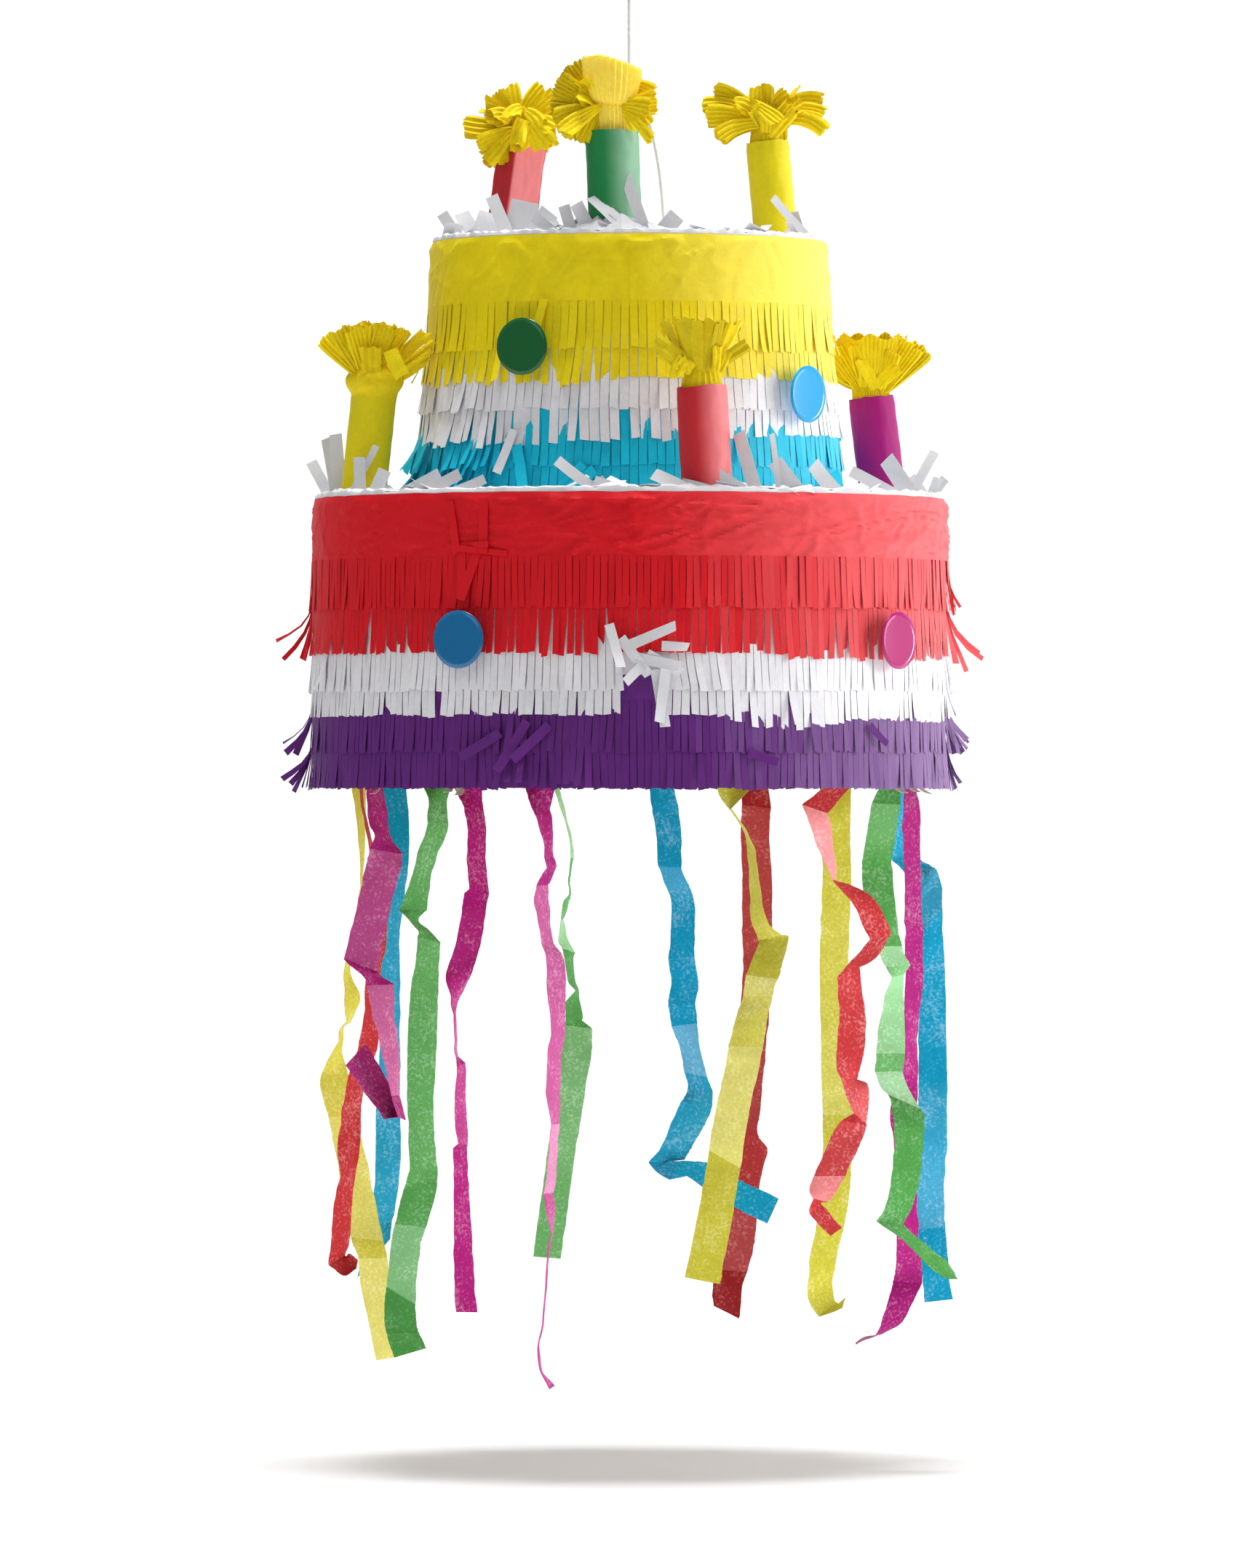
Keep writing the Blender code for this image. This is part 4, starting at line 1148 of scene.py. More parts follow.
# The loose ends in front of the fan: start (right, nearer, up), angle, length, width, bend, tone.
FAN_ENDS = [
    ((-5, 10, 8), 138, 10, 8, 70, 1.0), ((-9, 12, 14), 228, 12, 8, 50, 0.98),
    ((-8, 11, 6), 96, 9, 6, 30, 0.9), ((7, 11, 7), 80, 13, 5, 14, 1.0), ((9, 9, 7), 62, 11, 5, 10, 0.95),
    ((-4, 9, 8), 140, 25, 9, 8, 0.72), ((-5, 8, 9), 156, 19, 8, -14, 0.85),
    ((6, 8, 9), 38, 22, 7, -10, 0.74),
]


def flame_fan(cuttings, rng, head, tube):
    """Stiff pleated panels that flare from the tied neck like a shuttlecock."""
    gathered(cuttings, head, [(tube - 2, -6), (tube - 2.2, -1), (9.4, 4), (8.4, 9), (9.6, 14)], 20, 1.4,
             tone=0.92, seed=9.0)
    # Each panel's tone is random in a wide range, for painted light and shade; the inner panels are painted
    # deeper, as shade.
    panels(cuttings, rng, head, 19, 0, 7.6, 6, 30, 3.6, 7.8, 24, 24, (0.60, 1.0))
    panels(cuttings, rng, head, 13, 10, 5.5, 7, 27, 3.2, 8.4, 13, 30, (0.55, 0.86))
    for start, angle, length, width, bend, tone in FAN_ENDS:
        leaf(cuttings, rng, head, 0, start, angle, length, width - 1.5, width, bend, 14, 20, 2, tone)


# The cup of the wing: the way a leaf faces, angle, length, root width, tip width, bend, lift, tone.
# Its tones are painted light and shade: leaves inside the cup and away from the light are painted deeper.
WING_CUP = [
    (180, 62, 33, 9, 20, 4, 12, 0.84), (180, 84, 32, 9, 20, 0, 14, 0.86),
    (180, 102, 32, 9, 20, 0, 14, 0.84), (0, 138, 32, 6, 11, -4, 2, 0.98), (0, 122, 31, 6, 12, -4, 8, 0.84),
    (0, 104, 28, 7, 11, 2, 14, 0.96), (0, 86, 29, 7, 12, 2, 12, 0.94), (0, 70, 30, 6, 11, 2, 12, 0.90),
    (0, 56, 32, 6, 10, 0, 8, 0.95), (90, 70, 28, 8, 16, 0, 20, 0.9), (90, 110, 28, 8, 16, 0, 20, 0.9),
    (-90, 80, 28, 8, 16, 0, 24, 0.9), (-90, 110, 28, 8, 16, 0, 24, 0.9),
]
# Its thin ends: how far right and up they start, angle, length, width, bend.
WING_ENDS = [
    (9, 14, 50, 24, 3.0, -10), (9, 12, 42, 27, 3.0, -2), (9, 10, 34, 27, 2.8, 6), (9, 8, 26, 25, 2.6, 14),
    (9, 7, 16, 22, 2.8, 30), (10, 5, 24, 18, 3.0, 20), (8, 16, 60, 18, 4.0, -6), (10, 9, 38, 22, 2.4, -16),
]


def flame_wing(cuttings, rng, head, tube):
    """A wide pleated cup open to the upper left, with thin ends that reach out to the right."""
    gathered(cuttings, head, [(tube - 0.5, -7), (tube + 0.4, -2), (tube + 1.2, 0), (tube + 3.0, 3),
                              (tube + 3.4, 7), (tube + 0.5, 11), (tube - 1.5, 14)],
             16, 1.0, tone=0.92, seed=11.0)
    for turn, angle, length, root, tip, bend, lift, tone in WING_CUP:
        start = (-3 if turn == 0 else 0, 7, 6)
        leaf(cuttings, rng, head, turn, start, angle, length, root, tip, bend, lift, 8, 5, tone)
    for across, up, angle, length, width, bend in WING_ENDS:
        start = (across, rng.uniform(0, 6), up)
        leaf(cuttings, rng, head, 0, start, angle, length, width, width + 0.6, bend, 4,
             rng.uniform(-25, 25), 1, 0.96)
    leaf(cuttings, rng, head, 0, (8.5, 14, 21), 292, 16, 7.5, 8.5, 6, 6, 10, 1, 1.0)
    leaf(cuttings, rng, head, 0, (-1, 12, 5), 92, 18, 9, 11, 0, 8, 6, 3, 0.93)


CUP_LEAVES = [
    ((-5, 8, 4), 118, 27, 6, 15, 6, 12, 0, 8, 7, 0.98), ((-7, 6, 6), 136, 22, 5, 12, 4, 8, 0, -12, 6, 0.97),
    ((-2, 9, 3), 98, 27, 6, 14, 2, 16, 4, 10, 7, 0.95), ((3, 9, 3), 76, 24, 6, 15, -2, 18, 6, -8, 8, 0.90),
    ((6, 7, 4), 60, 29, 6, 16, -4, 10, 0, 12, 8, 0.93), ((7, 4, 4), 48, 31, 5, 14, -2, 4, 0, -16, 7, 0.92),
    ((-4, 11, 5), 86, 15, 5, 7, 8, 14, 10, 20, 2, 1.0), ((3, 12, 5), 52, 16, 5, 9, -14, 12, 8, -20, 3, 1.0),
    ((-8, 8, 6), 150, 14, 4, 8, -16, 8, 0, 30, 3, 0.96), ((2, 12, 4), 112, 19, 5, 8, 8, 10, 8, 14, 2, 0.99),
]


def flame_cup(cuttings, rng, head, tube):
    """A full cup of fine ribs with a scalloped edge, and folded ends in front of it."""
    gathered(cuttings, head, [(tube - 2, -6), (tube - 2.2, 0), (10.2, 6), (13.0, 13), (17.5, 24), (20.0, 33)],
             54, 0.9, scallop=1.8, lobes=8, tone=0.90, seed=13.0)
    gathered(cuttings, head, [(7.0, 4), (9.0, 14), (12.0, 24), (14.5, 34)], 40, 0.9, scallop=2.2, lobes=6,
             tone=0.82, seed=15.0)
    both_sides(cuttings, rng, head, CUP_LEAVES)


FLAMES = {"bonnet": flame_bonnet, "shaggy": flame_shaggy, "mop": flame_mop, "fan": flame_fan,
          "wing": flame_wing, "cup": flame_cup}


# ---- streamers ---------------------------------------------------------------------------------
# Each streamer: colour, width mm, which edge is nearer (+1 the left one at the
# top), its depth at the top and at the end, then its panels from one fold to the next. A panel
# has a tone (below 1 deeper, above 1 paler) and the places its two edges pass through: right and
# down from the middle of the base, in mm, as they look from the front at the depth of the cord.
# A panel's tone is painted light and shade: paler where the panel turns to the light, deeper where it turns
# away or lies under a fold.
STREAMERS = {
    "streamer_01_blue": ("blue", 15.5, -1, (-149, -93), [
        (0.92, [(10, 0, 23, 0), (12, 12, 25.5, 12), (14, 26, 27, 26), (15, 42, 27, 43)]),
        (1.10, [(20, 54, 31, 52)]),
        (1.00, [(22, 62, 34, 62), (21.5, 80, 34, 80), (20.5, 92, 34, 90), (22, 102, 36, 103),
                (20.5, 114, 34.5, 114), (22, 126, 35.5, 124)]),
        (1.25, [(26, 136, 36.5, 136), (29, 150, 40.5, 152)]),
        (1.03, [(30, 160, 43.3, 163), (25, 169, 41, 174), (17, 188, 33.5, 187), (10, 197, 29, 195.5)]),
        (0.72, [(14, 202, 20, 196), (21, 206, 29, 196)]),
        (0.88, [(30, 204, 36, 196)]),
        (0.98, [(40, 211, 44, 198), (55, 220.5, 56, 205.5), (72, 229, 78, 215.5)])]),
    "streamer_02_yellow": ("yellow", 17.5, -1, (-139, -139), [
        (0.92, [(46, 0, 65, 0), (47, 5, 60, 5), (52, 12.5, 53, 12)]),
        (1.10, [(57.7, 19.5, 58.5, 19.3), (61, 27.5, 62.6, 26)]),
        (1.05, [(61.7, 30, 65, 30.5), (62, 38, 66, 38), (63, 55, 68.5, 55), (64, 71, 72, 71),
                (67.5, 81, 79, 78)]),
        (0.84, [(68, 82, 83, 79.5), (64.5, 90, 80.5, 91)]),
        (0.95, [(61, 99, 77.5, 101)]),
        (1.30, [(59.5, 110, 74.5, 110)]),
        (1.10, [(55, 124, 72, 122), (52, 136, 69.7, 137)]),
        (1.28, [(50, 148, 67.5, 148), (45, 170, 62.5, 170), (41.5, 190.5, 58, 200)]),
        (0.94, [(39, 207, 56.5, 208), (35, 228, 53, 230), (29, 257, 47, 260.5)])]),
    "streamer_03_red": ("red", 16.5, 1, (-105, -100), [
        (0.78, [(103, 0, 116, 0), (96.5, 5, 110, 7), (90.5, 10, 104, 14.5)]),
        (1.50, [(95.5, 24, 106, 26), (100.5, 37, 107.5, 38), (106, 49, 108.6, 49.3)]),
        (1.00, [(111, 55, 115.5, 52.3), (117, 62, 126, 57.5), (120.5, 70, 133.5, 68.5),
                (125, 80, 136.2, 77)]),
        (0.76, [(121, 86, 131.5, 87), (115, 92, 124, 93.5), (108.5, 100, 120.3, 95)]),
        (1.02, [(109, 110, 121.5, 108), (109.3, 122, 123.3, 122), (108.5, 134, 123, 136),
                (108, 147, 120.5, 148), (110, 153, 119, 154)]),
        (1.10, [(114, 164, 125, 158), (117, 171, 124, 177)]),
        (0.76, [(111, 174.5, 124, 178)]),
        (1.05, [(106, 182, 122, 184), (100, 196, 116.5, 196), (96, 204, 112.5, 204)]),
        (1.38, [(94, 211, 109, 211), (96, 215.5, 104, 218)]),
        (0.88, [(94, 224, 100.5, 219.5), (105, 235, 111, 231.5)])]),
    "streamer_04_green": ("green", 16.5, 1, (-61, -62), [
        (0.74, [(131, 0, 142, 0), (126.5, 9, 141.5, 10)]),
        (1.12, [(124, 25, 139, 26)]),
        (1.00, [(121.5, 40, 137, 40)]),
        (0.92, [(122, 54, 138, 54), (127, 72, 140.5, 74), (130, 84, 142.5, 84)]),
        (1.42, [(131.5, 90, 143.5, 88), (134, 95, 147, 94)]),
        (1.18, [(137, 100, 143.3, 99)]),
        (1.38, [(133.5, 110, 143, 110), (130, 127, 144, 127), (129, 140, 144, 140)]),
        (1.10, [(128, 149.5, 142.5, 149.5)]),
        (1.52, [(131, 157, 145.5, 158), (135, 161.5, 152, 169)]),
        (0.80, [(136.5, 164, 154, 172)]),
        (0.95, [(138.5, 182, 154, 182), (137.2, 200, 152.2, 202), (135, 216, 149, 217),
                (129, 227.5, 143, 229.5)]),
        (0.82, [(140, 235, 147, 233.5), (152, 246.5, 158, 242.5), (163, 256, 165.5, 248),
                (171, 257.5, 170, 255)])]),
    "streamer_05_magenta": ("magenta", 14.5, 1, (-5, 5), [
        (0.80, [(144, 0, 148.5, 0), (142.8, 12, 152, 12), (143, 32, 152, 32), (143.8, 52, 152.3, 50)]),
        (0.86, [(143.5, 74, 153, 74), (144, 100, 153.5, 100), (143.3, 116, 152, 116),
                (144, 134, 150.7, 132), (142.5, 150, 151, 150)]),
        (0.90, [(138, 162, 150.5, 163), (136, 172, 149, 173), (138, 185, 149.5, 186),
                (139, 210, 150, 210)]),
        (1.02, [(139.5, 235, 151, 236), (139.2, 250, 152.7, 250), (138, 259, 153, 260)]),
        (0.80, [(134.5, 271, 147.5, 271), (131.5, 281, 142.5, 281), (128, 287.5, 132, 287)]),
        (1.50, [(123, 289.3, 123.5, 288.3), (118, 292, 118.3, 291.5)])]),
    "streamer_06_blue": ("blue", 15.5, 1, (43, 60), [
        (1.02, [(142, 0, 150, 0), (139.5, 16, 151, 16), (137, 39, 149, 34)]),
        (0.92, [(142, 43.5, 153, 39.5), (149, 53, 157, 41.5)]),
        (1.08, [(150.5, 60, 161, 45), (151, 66, 163.3, 54)]),
        (0.98, [(151, 82, 163.7, 76), (151, 100, 165, 100), (151, 128, 165.5, 128), (151, 150, 166, 150)]),
        (1.06, [(151, 166, 166, 166), (151.5, 185, 166, 185)]),
        (1.12, [(151, 203, 164.8, 203), (150, 216, 164.3, 216), (150, 232, 165, 230)]),
        (0.98, [(152, 250, 166.3, 247), (153.5, 262, 167.3, 260), (154, 270, 169, 268.5)])]),
    "streamer_07_yellow": ("yellow", 16.5, 1, (102, 104), [
        (0.94, [(100, 0, 116, 0), (100.5, 25, 115.3, 25), (101, 45, 116, 45)]),
        (1.06, [(100, 70, 115, 70), (99.5, 100, 114.5, 100), (100, 135, 115.5, 135)]),
        (1.14, [(100.5, 155, 116, 155), (101, 172, 117, 172)]),
        (1.00, [(101, 190, 116.5, 190), (100, 212, 115, 212), (97.5, 231, 112, 231),
                (94.5, 245, 108.5, 245), (93, 262, 106, 260)]),
        (0.92, [(94.5, 271, 107, 268), (99, 277.5, 109.5, 271)]),
        (0.92, [(111, 272.5, 113, 268)])]),
    "streamer_08_red": ("red", 16.5, -1, (135, 128), [
        (0.82, [(58, 0, 72.5, 0), (59, 10, 74, 12)]),
        (1.10, [(58.3, 24, 73, 26), (59, 50, 74.5, 50), (59, 76, 74.5, 76), (59.5, 96, 74, 96)]),
        (1.10, [(58, 115, 73.2, 115), (56, 135, 71.5, 135), (54.5, 152, 69.8, 152), (53, 172, 68, 172)]),
        (1.04, [(52.5, 182, 67, 182), (56, 189, 72, 190), (54, 199, 70, 199), (52, 208, 68, 208)]),
        (1.12, [(51, 226, 66.5, 226), (49.5, 240, 65, 240), (46, 253, 61.5, 254)]),
        (0.82, [(43.5, 262, 59, 262), (44, 272, 57.5, 278.5)])]),
    "streamer_09_green": ("green", 17.0, 1, (145, 140), [
        (1.40, [(-40, 0, -37, 0), (-35, 14, -33.5, 14), (-31.2, 28, -30.0, 28), (-30.6, 38, -29.4, 38)]),
        (0.90, [(-31, 44, -30, 44), (-31.2, 56, -30.5, 56), (-34.5, 61, -31.5, 61),
                (-35.2, 70, -34.2, 70)]),
        (1.36, [(-37, 80, -33, 78), (-35, 85, -28.5, 87.5)]),
        (0.72, [(-33.5, 92, -29.5, 91), (-32, 102, -28.3, 102), (-28.5, 107, -27, 107.5)]),
        (0.72, [(-33, 113, -26, 112), (-33, 118, -24.5, 120), (-33, 123, -25, 123)]),
        (0.90, [(-34.5, 125, -19.5, 127)]),
        (1.22, [(-36, 140, -19.7, 140), (-37.5, 152, -22, 152), (-40, 172, -25, 172),
                (-42.5, 190, -28, 190)]),
        (1.12, [(-45, 208, -30.7, 208), (-47.5, 226, -33, 227), (-50, 246, -36, 247.5)])]),
    "streamer_10_magenta": ("magenta", 14.0, 1, (124, 120), [
        (0.90, [(-92, 0, -77, 0), (-86.5, 11, -77, 9)]),
        (1.00, [(-84.5, 22, -75, 22), (-84.5, 36, -75, 36), (-83.8, 54, -74, 54)]),
        (0.94, [(-86, 56, -73.5, 57)]),
        (1.02, [(-87.5, 66, -75, 66), (-91, 84, -78, 84), (-95.8, 99, -82.5, 98), (-93, 111, -88, 110),
                (-91.7, 120, -90.8, 119)]),
        (1.15, [(-91.3, 130, -90.2, 130), (-90.3, 142, -89.3, 142)]),
        (0.85, [(-90, 147, -86, 145)]),
        (1.06, [(-91, 160, -85.7, 160), (-91, 176, -85, 175), (-89.2, 187, -84.5, 187)]),
        (0.92, [(-92, 189.5, -85, 190)]),
        (1.00, [(-91.8, 206, -84.5, 206), (-91.5, 232, -82.5, 232), (-91.3, 256, -81.2, 256),
                (-90.5, 275, -79.5, 275.5)])]),
    "streamer_11_blue": ("blue", 15.0, 1, (86, 84), [
        (0.94, [(-130, 0, -117, 0), (-129, 16, -115.5, 14), (-128, 32, -115, 32)]),
        (1.03, [(-128, 45, -116, 46), (-129, 60, -118, 62), (-130, 78, -120, 78), (-130, 100, -120, 100),
                (-130, 125, -120, 125), (-131, 150, -120, 150), (-132.3, 172, -120, 172),
                (-132.5, 187, -119.5, 190), (-133, 210, -121, 212), (-137, 232, -124, 228),
                (-142, 257, -125, 237)])]),
    "streamer_12_yellow": ("yellow", 17.0, 1, (50, 52), [
        (0.90, [(-145, 0, -138, 0), (-143, 12, -138, 12), (-141, 30, -138.3, 30), (-140.4, 48, -139.4, 48),
                (-143, 70, -141, 70)]),
        (0.98, [(-148, 92, -146, 92), (-148.5, 100, -144.5, 101), (-148.5, 110, -141, 110),
                (-148.5, 118, -143, 118), (-147.4, 123, -145.9, 124)]),
        (0.95, [(-151.2, 128, -149.2, 126.5), (-152.2, 134, -150.6, 134)]),
        (1.05, [(-156, 141, -150, 141), (-161, 152, -147, 151), (-161, 160, -146.5, 160),
                (-157, 173, -143.5, 173)]),
        (1.20, [(-152.5, 196, -137, 197), (-149.5, 215, -133.5, 215), (-145.5, 236, -128.5, 238)]),
        (1.02, [(-141.5, 247, -126.5, 247)]),
        (1.26, [(-140, 262, -125, 260), (-136, 281, -122.5, 280), (-132, 300, -121, 299)])]),
    "streamer_13_red": ("red", 15.0, 1, (-24, -20), [
        (0.74, [(-141, 0, -139.5, 0), (-139.5, 14, -138.5, 14), (-136.5, 28, -135, 27)]),
        (0.92, [(-134, 45, -130, 45), (-132, 65, -127, 66), (-134, 80, -127, 80), (-137, 97, -130, 97)]),
        (1.00, [(-138, 106, -130, 106), (-138.5, 120, -130, 120), (-142, 138, -132, 138),
                (-147, 152, -138, 152)]),
        (0.94, [(-149.5, 170, -140, 168), (-152.3, 187, -140.7, 186), (-150.8, 204, -143, 203)]),
        (1.00, [(-154, 218, -145, 216), (-155.5, 236, -146, 235), (-156.3, 250, -148, 246)]),
        (0.78, [(-149, 256, -146, 245), (-142.5, 252, -142, 248.5)])]),
    "streamer_14_magenta": ("magenta", 19.0, 1, (-70, -77), [
        (0.88, [(-137, 0, -129, 0), (-137, 12, -127, 14), (-135.5, 20, -126, 21), (-133, 26, -124.5, 28),
                (-135, 33, -118.5, 36)]),
        (1.14, [(-138, 44, -119.5, 44), (-142, 62, -124.5, 62), (-149, 90.5, -132, 97)]),
        (0.95, [(-138, 100.5, -129, 100.5), (-137, 104.5, -123, 104)]),
        (1.22, [(-134.5, 117, -123, 118), (-131, 130, -121.5, 130), (-128.5, 142, -120.5, 142),
                (-124, 162, -120.5, 162)]),
        (0.85, [(-121, 173, -117, 175)]),
        (0.82, [(-128, 174, -119, 171)]),
        (1.06, [(-139, 159, -128, 152), (-148, 146, -138, 135)])]),
    "streamer_15_green": ("green", 16.5, 1, (-111, -111), [
        (0.84, [(-108, 0, -92, 0), (-104.5, 8, -95, 6), (-105, 14, -95, 15)]),
        (1.04, [(-105.5, 22, -95, 23), (-110.5, 35, -100, 35), (-113, 46, -103.5, 46),
                (-120, 65, -106, 65)]),
        (0.88, [(-115, 69.5, -110, 70), (-110.5, 76, -106.5, 75), (-110.5, 79, -99, 82)]),
        (1.06, [(-111.5, 92, -99.5, 92), (-114, 106, -100, 106), (-115.5, 125, -100.5, 125),
                (-116, 150, -101.5, 150), (-115.5, 172, -102.5, 172), (-114.5, 201, -100.5, 200)]),
        (1.02, [(-118.5, 213, -101, 213), (-122.5, 229, -106.5, 231)]),
        (1.26, [(-124.5, 240, -109, 240), (-126, 255, -111, 255), (-127, 262, -112, 271)]),
        (0.86, [(-128, 272, -111.5, 276), (-128, 281, -111, 283)]),
        (0.74, [(-127, 286, -110, 286)]),
        (0.88, [(-123, 299, -106, 294)])]),
    "streamer_16_magenta": ("magenta", 15.0, 1, (-142, -138), [
        (0.82, [(-55, 0, -38.5, 0), (-50.5, 13, -42, 13)]),
        (1.00, [(-47, 22, -40, 21), (-44.3, 32, -40, 32), (-43, 43, -38, 42)]),
        (0.85, [(-46, 47.5, -41, 49.5), (-49, 52, -43, 52)]),
        (1.18, [(-49.5, 62, -42, 62), (-46, 79, -40.5, 79), (-43.3, 92, -34, 92), (-43, 108, -33.5, 108),
                (-41, 124, -33.5, 124), (-42.8, 142, -35.8, 142), (-43, 162, -36, 162),
                (-40.7, 177, -36.7, 177)]),
        (1.48, [(-42.5, 197, -38, 197), (-44.2, 213, -39, 213)]),
        (1.12, [(-43.5, 222, -39.2, 222), (-40.6, 234, -39.9, 234)]),
        (1.04, [(-42.8, 243, -41.8, 243), (-44, 262, -43.3, 262), (-46, 284, -45.2, 284),
                (-48, 293, -47.1, 293), (-46.8, 305, -45.5, 306), (-41.5, 315, -39, 314)])]),
}
STREAMER_PAPER = 0.16 * MM
SPAN_STEPS = 8              # rows from one place to the next
CRISP_TONE = 0.13           # a tone that changes by less than this changes gradually
FOLD_STEP = 0.06            # how far past a fold the next panel's first row is, as a share of a step
VIEWED_FROM = 5500.0        # mm in front of the cord, where the places above are seen from
CREASE_EVERY, CREASE_HEIGHT = 20.0, 0.8         # mm
CREASE_HALF = 5.0           # mm from a crease to where the paper is flat again
CREASE_MARGINS = (8.0, 4.0)     # mm left uncreased at the top and at the end
WEAR = 0.06                 # most that a worn edge moves, as a share of the width


def streamer_rows(panels, side, width, depths):
    """Both edges of a streamer along its fall, in mm: the nearer edge stands off the other by
    what the width does not show from the front."""
    last_down = max(panels[-1][1][-1][1], panels[-1][1][-1][3])
    route, tones, before = [], [], None
    for tone, places in panels:
        spans = ([before] if before else []) + places
        smoothed = smooth_route(spans, SPAN_STEPS)
        if before:
            smoothed[0] = [a + (b - a) * FOLD_STEP for a, b in zip(smoothed[0], smoothed[1])]
        route += smoothed
        old = tones[-1] if before and abs(tone - tones[-1]) < CRISP_TONE else tone
        tones += [old + (tone - old) * min(1.0, step / SPAN_STEPS) for step in range(len(smoothed))]
        before = places[-1]
    rows = []
    for left, left_down, right, right_down in route:
        share = min(1.0, (left_down + right_down) / 2 / last_down)
        depth = depths[0] + (depths[1] - depths[0]) * share
        scale = 1.0 + depth / VIEWED_FROM
        across, fall = (right - left) * scale, (right_down - left_down) * scale
        aside = side * math.sqrt(max(0.0, width * width - across * across - fall * fall))
        rows.append((Vector((left * scale, depth - aside / 2, -left_down * scale)),
                     Vector((right * scale, depth + aside / 2, -right_down * scale))))
    return rows, tones


def streamer(index, node, colour, width, side, depths, panels):
    """One paper strip, folded between its panels, with creases across it and worn edges. Lengths
    are in mm."""
    rng = random.Random(300 + index)
    top = UP * top_of(node)
    edges, tones = streamer_rows(panels, side, width, depths)
    middles = [(a + b) / 2 for a, b in edges]
    lengths = [0.0]
    for a, b in zip(middles, middles[1:]):
        lengths.append(lengths[-1] + (b - a).length)
    total = lengths[-1]
    creases = sorted(rng.uniform(CREASE_MARGINS[0], total - CREASE_MARGINS[1])
                     for _ in range(int(total / CREASE_EVERY)))
    heights = [rng.uniform(-CREASE_HEIGHT, CREASE_HEIGHT) for _ in creases]
    across_points, rows = 6, []
    for i, (left, right) in enumerate(edges):
        heading = (middles[min(i + 1, len(middles) - 1)] - middles[max(i - 1, 0)]).normalized()
        wide = right - left
        face = heading.cross(wide).normalized()
        at = lengths[i]
        fold = sum(h * max(0.0, 1.0 - abs(at - c) / CREASE_HALF) for h, c in zip(heights, creases))
        fold *= min(1.0, at / 12.0)
        row = []
        for j in range(across_points + 1):
            u = j / across_points
            worn = 0.0
            if j in (0, across_points):
                worn = 0.5 * ripple(at * 0.16, u * 4.0, index + 30)
                worn += 0.35 * ripple(at * 0.7, u * 9.0, index + 60)
            crumple = 0.5 * ripple(at * 0.12, u * 3.0, index + 5) * min(1.0, at / 10.0)
            row.append(top + (left + wide * (u + worn * WEAR) + face * (fold + crumple)) * MM)
        rows.append(row)
    cuttings = Cuttings()
    cuttings.strip(rows, tones)
    slot = "paper_" + colour
    piece = cuttings.piece(node + "_paper", slot, STREAMER_PAPER, node, slot)
    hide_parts(node)


# ---- cord --------------------------------------------------------------------------------------
CORD_R = 1.0 * MM
LAYS_PER_METRE = 260.0


def twisted(name, path, radius, body):
    """A two-ply twisted cord along a path, closed at both ends."""
    around = 12
    bm = bmesh.new()
    rings, travelled = [], 0.0
    side = Vector((0, 1, 0))
    for i, place in enumerate(path):
        if i:
            travelled += (place - path[i - 1]).length
        heading = (path[min(i + 1, len(path) - 1)] - path[max(i - 1, 0)]).normalized()
        side = (side - heading * side.dot(heading)).normalized()
        other = heading.cross(side)
        ring = []
        for c in range(around):
            angle = math.tau * c / around
            lay = abs(math.cos(angle - travelled * LAYS_PER_METRE * math.tau / 2))
            r = radius * (0.84 + 0.16 * lay)
            ring.append(bm.verts.new(place + side * r * math.cos(angle) + other * r * math.sin(angle)))
        rings.append(ring)
    for low_ring, high_ring in zip(rings, rings[1:]):
        for c in range(around):
            d = (c + 1) % around
            bm.faces.new((low_ring[c], low_ring[d], high_ring[d], high_ring[c]))
    bm.faces.new(rings[0][::-1])
    bm.faces.new(rings[-1])
    bmesh.ops.recalc_face_normals(bm, faces=bm.faces)
    mesh = mesh_of(name, bm, material("cotton"))
    for face in mesh.polygons:
        face.use_smooth = len(face.vertices) == 4
    obj = placed(name, mesh)
    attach(obj, body)
    return obj


def knot_path(centre, size):
    """A small overhand knot pulled tight, as an open stretch of a trefoil."""
    samples, path = 70, []
    for n in range(samples + 1):
        t = math.tau * (0.02 + 0.96 * n / samples)
        path.append(centre + Vector(((math.sin(t) + 2 * math.sin(2 * t)) / 3,
                                     (math.cos(t) - 2 * math.cos(2 * t)) / 3, -math.sin(3 * t) * 0.7)) * size)
    return path


LOOP_LEFT, LOOP_RIGHT = -11, 19         # mm: the two holes of the deck that the loop goes through
LOOP_KNOT, EYE_KNOT = 2.9 * MM, 2.1 * MM     # sizes of the two knots
STOPPER_R = 1.6 * MM


